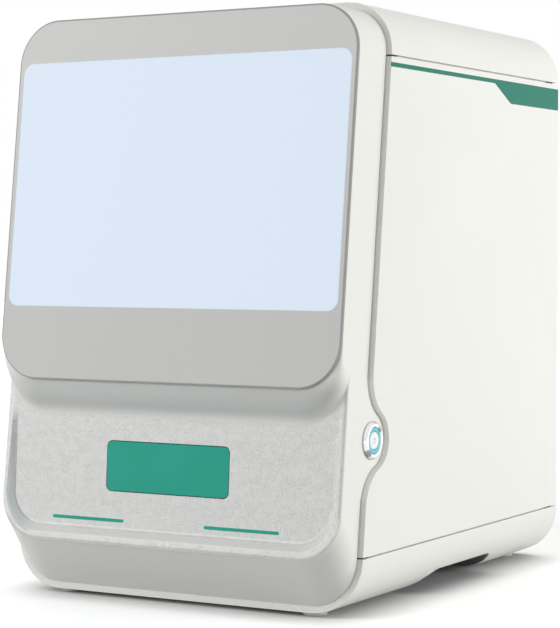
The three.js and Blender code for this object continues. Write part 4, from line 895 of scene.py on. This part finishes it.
def ahead_of_fascia(s, back):
    """Everything in front of the fascia's plane, moved back by an amount."""
    reach, high = 0.2, 0.4
    face, ahead = back - s.fascia_depth, -s.fascia_depth - reach
    outline = ((face, 0.0), (face + s.fascia_slope * high, high), (ahead, high), (ahead, 0.0))
    rings = [[row(x, y, z) for y, z in outline] for x in (-reach, reach)]
    return skinned("ahead", rings)


def fascia_recess(s):
    """The recess round the fascia: rounded at its mouth, with a ruled wall down to the fascia's own plane."""
    half = s.half_width - s.rim_round - s.strip_width
    bottom = s.rim_bottom + s.strip_height
    square = 0.0002
    wide, mouth, floor = (
        rounded(half + out, bottom - drop, s.recess_top, corner, square, s.arc_steps)
        for out, drop, corner in (
            (s.recess_edge, s.recess_edge, s.strip_corner + s.recess_edge),
            (0.0, 0.0, s.strip_corner),
            (-s.wall_run, -s.wall_rise, s.fascia_corner),
        )
    )
    rings = [[] for _ in range(9)]
    for (xw, zw), (xm, zm), (xf, zf) in zip(wide, mouth, floor):
        outside = row(xw, s.slope * zw - s.rim_depth, zw)
        edge = row(xm, s.slope * zm - s.rim_depth, zm)
        wall = row(xf, s.fascia_slope * zf - s.fascia_depth, zf) - edge
        inside = edge + wall.normalized() * min(s.recess_edge, wall.length / 2)
        rings[0].append(outside + Vector((0.0, -0.0004, 0.0)))
        for k in range(7):
            t = k / 6
            rings[k + 1].append(outside * (1 - t) ** 2 + edge * (2 * t * (1 - t)) + inside * t**2)
        rings[8].append(edge + wall * 1.3)
    return combined(skinned("pocket", rings), ahead_of_fascia(s, 0.0), "INTERSECT")


def shell_cavity(s):
    """The hollow inside: behind the skirt, behind the fascia, and in the head behind the panel."""
    rise, inner, top = s.skin * 1.3, s.half_width - s.skin, s.top - s.skin
    ridge, corner = 0.013, 0.02
    chamber = [
        Outline(depth, inner - tuck, skirt_bottom(s, max(depth, 0.0)) + rise, top, s.corner, s.corner)
        for depth, tuck in ((-0.002, s.edge_tuck), (s.edge_round, 0.0), (0.019, 0.0))
    ]
    belly = Outline(0.0, s.half_width - ridge, s.rim_bottom + ridge, s.cove_bottom + ridge, corner, corner)
    belly = lofted("belly", [belly, belly._replace(depth=s.panel_depth)], s.slope, 8)
    belly = combined(belly, ahead_of_fascia(s, s.skin), "DIFFERENCE")
    head = cove_outlines(s, s.skin, 6)
    head = lofted("head", [head[0]._replace(depth=0.017), *head], s.slope, 8)
    return combined(combined(lofted("chamber", chamber, s.slope, 8), belly, "UNION"), head, "UNION")


def flank_edge(s, b, low, high, inset):
    """The side panel's front edge round the power button, moved forward by an inset."""
    along = Vector((math.sin(s.lean), math.cos(s.lean)))
    behind = Vector((math.cos(s.lean), -math.sin(s.lean)))
    middle = Vector((b.setback, b.height))
    depth = (b.setback - s.slope * b.height) * math.cos(s.lean) + inset
    bulge = b.bulge - inset
    fillet = b.fillet + inset
    rise = math.sqrt((bulge + fillet) ** 2 - (fillet - depth) ** 2)
    turn = math.atan2(fillet - depth, rise)
    shift = inset / math.cos(s.lean)
    curve = []
    for i in range(13):
        angle = turn + (math.pi / 2 - turn) * (1 - i / 12)
        curve.append((fillet - depth - fillet * math.sin(angle), rise - fillet * math.cos(angle)))
    arc = []
    for i in range(1, 40):
        angle = turn + (math.pi - 2 * turn) * (i / 40)
        arc.append((bulge * math.sin(angle), -bulge * math.cos(angle)))
    path = [(back, -up) for back, up in curve] + arc + curve[::-1]
    points = [tuple(middle + behind * back + along * up) for back, up in path]
    return [(s.slope * low - shift, low), *points, (s.slope * high - shift, high)]


def button_tab(s, b):
    reach = b.bulge + b.fillet + b.tab_reach
    low, high = b.height - reach, b.height + reach
    front = [(s.slope * high - b.tab_overlap, high), (s.slope * low - b.tab_overlap, low)]
    levels = [(s.half_width - s.skin, 0.0)]
    for turn in sweep(0, 90, 8):
        x = s.half_width - s.edge_tuck * (1 - math.sin(turn))
        levels.append((x, s.edge_round * (1 - math.cos(turn))))
    rings = []
    for x, inset in levels:
        edge = flank_edge(s, b, low, high, b.tab_gap + inset)
        rings.append([row(x, y, z) for y, z in edge + front])
    return skinned("tab", rings)


def opening(name, box, gap, corner, near, far, slope, steps):
    """A tool that cuts a rounded opening round a node's box, between two depths."""
    low, high = box
    outline = Outline(near, high.x + gap, low.z - FOOT.z - gap, high.z - FOOT.z + gap, corner, corner)
    return lofted(name, [outline, outline._replace(depth=far)], slope, steps)


class ANALYZER_OT_front_shell(bpy.types.Operator):
    """Builds the grey front shell with its cove, sunk fascia, skirt and button tab"""

    bl_idname = "analyzer.front_shell"
    bl_label = "Front shell"

    def execute(self, context):
        group = settings()
        s, b = group.shell, group.button
        skin = combined(lower_shell(s), upper_shell(s), "UNION")
        skin = combined(skin, foot_fillet(s), "UNION")
        skin = combined(skin, shell_cavity(s), "DIFFERENCE")
        skin = combined(skin, button_tab(s, b), "UNION")
        skin = combined(skin, fascia_recess(s), "DIFFERENCE")
        corner = s.door_corner + s.door_gap
        door = opening("opening", (DOOR_LOW, DOOR_HIGH), s.door_gap, corner, s.panel_depth, -0.15, 0.0, 12)
        skin = combined(skin, door, "DIFFERENCE")
        box, near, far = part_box("display_module"), s.panel_depth + 0.002, 0.034
        window = opening("window", box, s.rear_depth, 0.0005, near, far, s.slope, 1)
        skin = combined(skin, window, "DIFFERENCE")
        for reach, radius in ((0.2, b.barrel + s.hole_slack), (s.half_width - s.skin, b.nut)):
            hole = skinned("hole", [circle(x, b.setback, b.height, radius, 64) for x in (0.0, reach)])
            skin = combined(skin, hole, "DIFFERENCE")
        skin.data.materials.clear()
        skin.data.materials.append(shell_plastic("shell plastic", group.colours, s, b.height).material)
        smoothed(skin, 30.0)
        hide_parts("front_shell")
        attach(skin, "housing")
        return {"FINISHED"}


class ANALYZER_OT_fascia_lines(bpy.types.Operator):
    """Prints the two teal lines on the fascia"""

    bl_idname = "analyzer.fascia_lines"
    bl_label = "Fascia lines"

    def execute(self, context):
        group = settings()
        s, p = group.shell, group.stripe
        half = p.pill_width / 2
        solids = []
        for start, end in ((p.left_start, p.left_end), (p.right_start, p.right_end)):
            outline = []
            for middle, first in ((end - half, -90), (start + half, 90)):
                for turn in sweep(first, first + 180, 12):
                    outline.append((middle + half * math.cos(turn), p.pill_height + half * math.sin(turn)))
            solids.append(
                [
                    [row(x, -s.fascia_depth + s.fascia_slope * z - lift, z) for x, z in outline]
                    for lift in (0.0, p.ink_height)
                ]
            )
        lines = skinned("fascia_lines", *solids)
        lines.data.materials.append(coated("printed teal", group.colours.teal, 0.5, 0.3, 0.25).material)
        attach(lines, "housing")
        return {"FINISHED"}


# Glass


class ANALYZER_OT_glass_panel(bpy.types.Operator):
    """Builds the glass panel with its display area"""

    bl_idname = "analyzer.glass_panel"
    bl_label = "Glass panel"

    def execute(self, context):
        group = settings()
        s = group.shell
        back = s.panel_depth - s.panel_thickness
        outlines = [Outline(back, s.half_width, s.panel_bottom, s.top, s.panel_corner, s.corner)]
        for turn in sweep(0, 90, 6):
            depth = s.panel_depth - s.panel_edge * (1 - math.sin(turn))
            c = s.panel_edge * (1 - math.cos(turn))
            half, bottom, top = s.half_width - c, s.panel_bottom + c, s.top - c
            outlines.append(Outline(depth, half, bottom, top, s.panel_corner - c, s.corner - c))
        glass = lofted("glass_panel", outlines, s.slope, s.arc_steps)
        glass.data.materials.append(display_glass("display glass", group.colours, group.display, s).material)
        smoothed(glass, 50.0)
        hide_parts("screen_glass")
        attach(glass, "housing")
        dressed("display_module", coated("display face", group.colours.display, 0.25, 0.1))
        dressed("display_bracket", metal("bracket steel", group.colours.steel, 0.35), 0.0002)
        return {"FINISHED"}


# Power button


class ANALYZER_OT_power_button(bpy.types.Operator):
    """Builds the chromed power button with its light ring"""

    bl_idname = "analyzer.power_button"
    bl_label = "Power button"

    def execute(self, context):
        group = settings()
        s, b, colours = group.shell, group.button, group.colours
        base, along, up = s.half_width, b.setback, b.height
        gap, face, depth = s.rear_depth, b.cap_face, b.cap_face - b.cap_rim
        wall, cone, lip = 0.0009, 0.0015, 0.0006
        profile = [
            (b.bore, -b.barrel_length),
            (b.barrel, -b.barrel_length),
            (b.barrel, gap),
            (b.bezel, gap),
            (b.bezel, gap + wall),
            (b.bezel - cone, b.bezel_face),
            (b.bore + lip, b.bezel_face),
            (b.bore, b.bezel_face - lip),
        ]
        profile = rounded_corner(profile, {3: 0.0003, 4: 0.0008, 5: 0.0012, 6: 0.0003})
        barrel = turned_x("button_bezel", profile, base, along, up)
        barrel.data.materials.append(self.chrome_with_painted_reflection(colours.chrome, along, up).material)
        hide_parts("power_button_barrel")
        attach(barrel, "housing")

        profile = [
            (0.0, face - b.stem_length),
            (b.stem, face - b.stem_length),
            (b.stem, depth),
            (b.cap, depth),
            (b.cap, face - 0.0005),
            (b.cap - 0.0005, face),
            (b.cap - 0.0012, face - 0.00008),
            (0.0, face - 0.00035),
        ]
        cap = turned_x("button_cap", profile, base, along, up)
        satin = metal("button cap satin", scaled(colours.chrome, 0.9), 0.34, wear=0.4)
        cap.data.materials.append(satin.material)
        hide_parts("power_button_cap")
        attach(cap, "power_button")

        edge = 0.0003
        profile = [
            (b.ring_inner, depth),
            (b.ring_outer, depth),
            (b.ring_outer, face - edge),
            (b.ring_outer - edge, face),
            (b.ring_inner + edge, face),
            (b.ring_inner, face - edge),
        ]
        ring = turned_x("button_light_ring", profile, base, along, up)
        light = Finish("ring light", ior=1.49, emission_strength=0.35)
        cloud = light.noise(400.0, 2.0)
        glow = light.mixed(cloud, scaled(colours.cyan, 0.9), colours.cyan)
        tone = light.mixed(cloud, scaled(colours.cyan, 0.85), colours.cyan)
        ring.data.materials.append(light.drive(tone, 0.3 + cloud * 0.1, emission_color=glow).material)
        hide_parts("power_button_light_ring")
        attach(ring, "power_button")

        root = base + face - 0.0003
        solids = [
            [[row(root + lift, along + y, up + z) for y, z in points] for lift in (0.0, 0.0001)]
            for points in self.mark_outlines(b.mark, b.mark_stroke)
        ]
        sign = skinned("button_mark", *solids)
        sign.data.materials.append(coated("mark ink", colours.mark, 0.4).material)
        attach(sign, "power_button")

        dressed("power_button_nut", metal("nut steel", colours.steel, 0.3))
        dressed("power_button_switch", moulded("switch plastic", colours.dark_plastic, 0.5))
        return {"FINISHED"}

    @staticmethod
    def chrome_with_painted_reflection(colour, along, up):
        """Chrome with a painted reflection: two opposite sectors are painted darker."""
        finish = Finish("button chrome", metallic=1.0)
        _, y, z = finish.parts(finish.place())
        across, rise = y - FOOT.y - along, z - FOOT.z - up
        # Painted reflection: two opposite sectors darker.
        dark_reflection = across * rise / (across * across + rise * rise + 0.000001)
        streak = finish.noise(700.0, 2.0)
        tone = finish.mixed(dark_reflection.between(0.36, 0.49), colour, scaled(colour, 0.32))
        return finish.drive(tone, 0.08 + streak * 0.06, streak * 0.000003)

    @staticmethod
    def mark_outlines(radius, half):
        """The usual sign of a power switch: an open ring and a bar."""
        outer, inner = (
            [(r * math.cos(turn), r * math.sin(turn)) for turn in sweep(128, 412, 24)]
            for r in (radius + half, radius - half)
        )
        foot, head = 0.0002, radius + half
        return [outer + inner[::-1], [(-half, foot), (half, foot), (half, head), (-half, head)]]


# Body


class ANALYZER_OT_body_shells(bpy.types.Operator):
    """Finishes the base, the side panels, the cover, the hand recesses and the feet"""

    bl_idname = "analyzer.body_shells"
    bl_label = "Body shells"

    def execute(self, context):
        group = settings()
        colours, s = group.colours, group.shell
        dressed("base_shell left_side_panel top_cover", body_plastic("body white", colours.body, s), 0.0004)
        printed = scaled(colours.body, 1.015)
        striped = body_plastic("body white striped", printed, s, group.stripe, colours.teal_stripe, 0.22)
        dressed("right_side_panel", striped, 0.0004)
        liner = moulded("liner plastic", scaled(colours.dark_plastic, 3.0), 0.6, grain=0.4)
        dressed("left_grip_liner right_grip_liner", liner)
        rubber = moulded("foot rubber", colours.rubber, 0.8, grain=0.3)
        dressed("foot_front_left foot_front_right foot_rear_left foot_rear_right", rubber)
        return {"FINISHED"}


# Drawer


class ANALYZER_OT_drawer(bpy.types.Operator):
    """Finishes the cartridge drawer, its rails, pinion and motor"""

    bl_idname = "analyzer.drawer"
    bl_label = "Cartridge drawer"

    def execute(self, context):
        colours = settings().colours
        dressed("drawer_front", coated("door teal", colours.teal, 0.45, 0.25, 0.25), 0.0004)
        dressed("drawer_tray", moulded("tray plastic", linear("dcdcd8"), 0.45))
        rail = metal("rail steel", colours.steel, 0.32, brushed=(1.0, 0.05, 1.0))
        dressed("left_drawer_rail right_drawer_rail", rail, 0.0002)
        dressed("drive_pinion", metal("pinion brass", colours.brass, 0.28), 0.0001)
        dressed("drive_motor", coated("motor black", colours.black_metal, 0.45), 0.0004)
        return {"FINISHED"}


# Inside


class ANALYZER_OT_inner_works(bpy.types.Operator):
    """Finishes the deck, the optics and the electronics"""

    bl_idname = "analyzer.inner_works"
    bl_label = "Inner works"

    def execute(self, context):
        colours = settings().colours
        dressed("chassis_deck", metal("deck steel", colours.steel, 0.36, brushed=(0.05, 1.0, 1.0)))
        machined = metal("machined aluminium", colours.aluminium, 0.34, brushed=(1.0, 1.0, 0.06))
        dressed("optics_column focus_carriage", machined)
        dressed("focus_screw", metal("screw brass", colours.brass, 0.26), 0.0001)
        for name in ("focus_motor", "camera", "lens_tube"):
            dressed(name, coated("black coat " + name, colours.black_metal, 0.4))
        dressed("objective_lens", metal("objective chrome", colours.chrome, 0.18))
        dressed("lamp", coated("lamp housing", colours.black_metal, 0.5))
        self.board(colours)
        dressed("power_supply", metal("supply steel", colours.steel, 0.4), 0.0004)
        glass = coated("optical glass", linear("5a6f86"), 0.05, 0.1, 1.0)
        low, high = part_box("objective_lens")
        middle = ((low.x + high.x) / 2, (low.y + high.y) / 2, low.z)
        fixed(lens_dome("objective_glass", middle, 0.0026, -0.0004), glass, "focus_carriage")
        diode = coated("lamp glass", linear("f4ecd0"), 0.12, 0.1, 1.0)
        low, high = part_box("lamp")
        middle = ((low.x + high.x) / 2, (low.y + high.y) / 2, high.z)
        fixed(lens_dome("lamp_glass", middle, 0.004, 0.0011), diode)
        return {"FINISHED"}

    @staticmethod
    def board(colours):
        """The board's mask with its tracks and packages, and what is soldered on it."""
        low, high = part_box("mainboard")
        face = high.y - 0.003
        finish = Finish("board mask", ior=1.5)
        x, y, z = finish.parts(finish.place())
        upright = finish.node("ShaderNodeCombineXYZ", None, {0: x, 1: z})
        tracks = finish.node(
            "ShaderNodeTexBrick",
            {"offset": 0.35, "squash": 1.6, "squash_frequency": 3},
            {"Vector": upright, "Scale": 90.0, "Mortar Size": 0.03, "Mortar Smooth": 0.2},
            output=1,
        )
        package = y > face + 0.0002
        fine = finish.noise(1500.0, 2.0)
        copper = scaled(colours.board, 1.7)
        tone = finish.layered(colours.board, (tracks, copper), (package, linear("222426")))
        finish.drive(tone, 0.34 + package * 0.18 + fine * 0.05, tracks * 0.00003 + fine * 0.000008)
        dressed("mainboard", finish, 0.0)

        # Two rows of packages and a column of sockets, by their places from the board's edges
        root = face - 0.0002
        chips, sockets = [], []
        for i in range(5):
            x = -0.046 + 0.0115 * i
            chips.append(((x, root, high.z - 0.03), (x + 0.006, face + 0.0018, high.z - 0.024)))
            chips.append(((x + 0.002, root, low.z + 0.012), (x + 0.005, face + 0.0011, low.z + 0.0136)))
        for i in range(3):
            z = low.z + 0.026 + 0.034 * i
            sockets.append(((high.x - 0.009, root, z), (high.x - 0.003, face + 0.0072, z + 0.022)))
        black = moulded("package plastic", linear("262829"), 0.55)
        fixed(slabs("board_packages", chips, 0.0003), black)
        pale = moulded("connector plastic", linear("e6e3d6"), 0.5)
        fixed(slabs("board_sockets", sockets, 0.0005), pale)
        steel = metal("screw steel", colours.steel, 0.28)
        fixed(screw_heads("board_screws", corners_of(low, high, 0.007, face), 0.0026, 0.0015), steel)


# Rear


def corners_of(low, high, inset, y):
    """The four corners of a box seen along Y, moved in by an inset."""
    return [(x, y, z) for x in (low.x + inset, high.x - inset) for z in (low.z + inset, high.z - inset)]


class ANALYZER_OT_rear(bpy.types.Operator):
    """Finishes the rear panel, the fan, the mains inlet and the sockets"""

    bl_idname = "analyzer.rear"
    bl_label = "Rear"

    def execute(self, context):
        colours = settings().colours
        dressed("rear_panel", coated("rear panel paint", scaled(colours.body, 0.9), 0.5, 0.15))
        dark = moulded("socket plastic", colours.dark_plastic, 0.45)
        dressed("fan_frame fan_rotor mains_inlet switch_frame rocker_switch", dark)
        dressed("fan_guard", metal("guard wire", colours.chrome, 0.22), 0.0004)
        for name in ("usb_port_inner", "usb_port_outer", "network_port"):
            dressed(name, metal("port steel " + name, colours.steel, 0.3), 0.0002)

        steel = metal("panel screw steel", colours.steel, 0.28)
        low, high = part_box("rear_panel")
        edges, ends = (low.x + 0.01, high.x - 0.01), (low.z + 0.009, high.z - 0.009)
        places = [(x, high.y, low.z + rise) for x in edges for rise in (0.045, 0.206, 0.367)]
        places += [(0.0, high.y, z) for z in ends]
        fixed(screw_heads("panel_screws", places, 0.003, 0.0017), steel)
        places = corners_of(*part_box("fan_frame"), 0.00425, high.y)
        fixed(screw_heads("fan_screws", places, 0.0028, 0.0016), steel)
        inlet_low, inlet_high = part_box("mains_inlet")
        middle = (inlet_low.z + inlet_high.z) / 2
        places = [(x, inlet_high.y, middle) for x in (inlet_low.x + 0.0045, inlet_high.x - 0.0045)]
        fixed(screw_heads("inlet_screws", places, 0.0021, 0.0009), steel)
        bare_plate = [((0.028, high.y - 0.0001, 0.128), (0.092, high.y + 0.0003, 0.162))]
        foil = metal("plate foil", colours.aluminium, 0.4)
        fixed(slabs("rating_plate", bare_plate, 0.0001), foil)
        return {"FINISHED"}


# Studio


def area_lamp(name, place, width, height, power):
    """A soft lamp that looks at the object and shows in no reflection."""
    data = bpy.data.lights.new(name, "AREA")
    data.shape = "RECTANGLE"
    data.size = width
    data.size_y = height
    data.energy = power
    lamp = bpy.data.objects.new(name, data)
    lamp.location = place
    lamp.rotation_euler = (Vector((0.0, 0.0, 0.2)) - Vector(place)).to_track_quat("-Z", "Y").to_euler()
    lamp.visible_glossy = False
    bpy.context.scene.collection.objects.link(lamp)


class ANALYZER_OT_studio(bpy.types.Operator):
    """Builds the pale floor, the soft light and the camera"""

    bl_idname = "analyzer.studio"
    bl_label = "Studio"

    def execute(self, context):
        scene = context.scene
        light = settings().studio
        mesh = bmesh.new()
        reach = 6.0
        corners = ((-reach, -reach), (reach, -reach), (reach, reach), (-reach, reach))
        mesh.faces.new([mesh.verts.new((x, y, 0.0)) for x, y in corners])
        floor = piece("floor", mesh)
        floor.data.materials.append(self.floor_material(light))

        scene.world = bpy.data.worlds.new("studio world")
        scene.world.use_nodes = True
        graph = Graph(scene.world.node_tree)
        level = graph.seen().between(0.0, 1.0, light.world, 1.0)
        back = graph.node("ShaderNodeBackground", None, {"Color": (1.0, 1.0, 1.0, 1.0), "Strength": level})
        graph.node("ShaderNodeOutputWorld", None, {0: back})

        area_lamp("right lamp", (2.0, 0.7, 0.5), 1.6, 0.8, light.key)
        area_lamp("front lamp", (-1.1, -1.5, 0.8), 1.4, 1.2, light.front)
        area_lamp("back lamp", (-1.8, 2.0, 0.7), 1.6, 1.2, light.back)

        data = bpy.data.cameras.new("camera")
        data.sensor_width = 36.0
        data.sensor_fit = "AUTO"
        data.lens = light.lens
        data.clip_end = 50.0
        camera = bpy.data.objects.new("view", data)
        camera.location = light.place
        camera.rotation_euler = light.turn
        scene.collection.objects.link(camera)
        scene.camera = camera
        scene.view_settings.view_transform = "Standard"
        return {"FINISHED"}

    @staticmethod
    def floor_material(light):
        """A matt floor that the camera sees as white, but for the shadow at the object's foot."""
        material = bpy.data.materials.new("floor")
        material.use_nodes = True
        graph = Graph(material.node_tree)
        seen = graph.seen()
        soft = graph.noise(3.0, 1.0)
        reach = {"Distance": light.shadow_reach}
        near = graph.node("ShaderNodeAmbientOcclusion", {"samples": 16}, reach, output=1)
        white = near.between(0.0, 1.0, light.shadow_depth, light.floor_white)
        shade = (1 - seen) * light.floor_shade + seen * white + (soft - 0.5) * 0.004
        grey = graph.node("ShaderNodeCombineColor", None, {0: shade, 1: shade, 2: shade})
        matt = graph.node("ShaderNodeBsdfDiffuse", None, {"Color": grey})
        x, y, _ = graph.parts(graph.place())
        far = (x * x + y * y).root().between(light.floor_near, light.floor_far)
        glow = graph.node("ShaderNodeEmission", None, {"Strength": seen * far * light.floor_glow})
        both = graph.node("ShaderNodeAddShader", None, {0: matt, 1: glow})
        graph.node("ShaderNodeOutputMaterial", None, {0: both})
        return material


# Panel and registration


class AnalyzerSettings(bpy.types.PropertyGroup):
    """Everything that a user would change."""

    shell: PointerProperty(type=ShellSizes)
    button: PointerProperty(type=ButtonSizes)
    stripe: PointerProperty(type=StripeSizes)
    display: PointerProperty(type=DisplaySizes)
    colours: PointerProperty(type=FinishColours)
    studio: PointerProperty(type=StudioLight)


OPERATORS = (
    ANALYZER_OT_studio,
    ANALYZER_OT_front_shell,
    ANALYZER_OT_fascia_lines,
    ANALYZER_OT_glass_panel,
    ANALYZER_OT_power_button,
    ANALYZER_OT_body_shells,
    ANALYZER_OT_drawer,
    ANALYZER_OT_inner_works,
    ANALYZER_OT_rear,
)


class ANALYZER_PT_pieces(bpy.types.Panel):
    """Lists the pieces that can be built"""

    bl_label = "Bench analyzer"
    bl_space_type = "VIEW_3D"
    bl_region_type = "UI"
    bl_category = "Analyzer"

    def draw(self, context):
        for operator in OPERATORS:
            self.layout.operator(operator.bl_idname)


CLASSES = (
    ShellSizes,
    ButtonSizes,
    StripeSizes,
    DisplaySizes,
    FinishColours,
    StudioLight,
    AnalyzerSettings,
    *OPERATORS,
    ANALYZER_PT_pieces,
)


def register():
    for item in CLASSES:
        bpy.utils.register_class(item)
    bpy.types.Scene.analyzer = PointerProperty(type=AnalyzerSettings)


def unregister():
    del bpy.types.Scene.analyzer
    for item in reversed(CLASSES):
        bpy.utils.unregister_class(item)


def main():
    register()
    bpy.ops.analyzer.studio()
    bpy.ops.analyzer.front_shell()
    bpy.ops.analyzer.fascia_lines()
    bpy.ops.analyzer.glass_panel()
    bpy.ops.analyzer.power_button()
    bpy.ops.analyzer.body_shells()
    bpy.ops.analyzer.drawer()
    bpy.ops.analyzer.inner_works()
    bpy.ops.analyzer.rear()


if __name__ == "__main__":
    main()
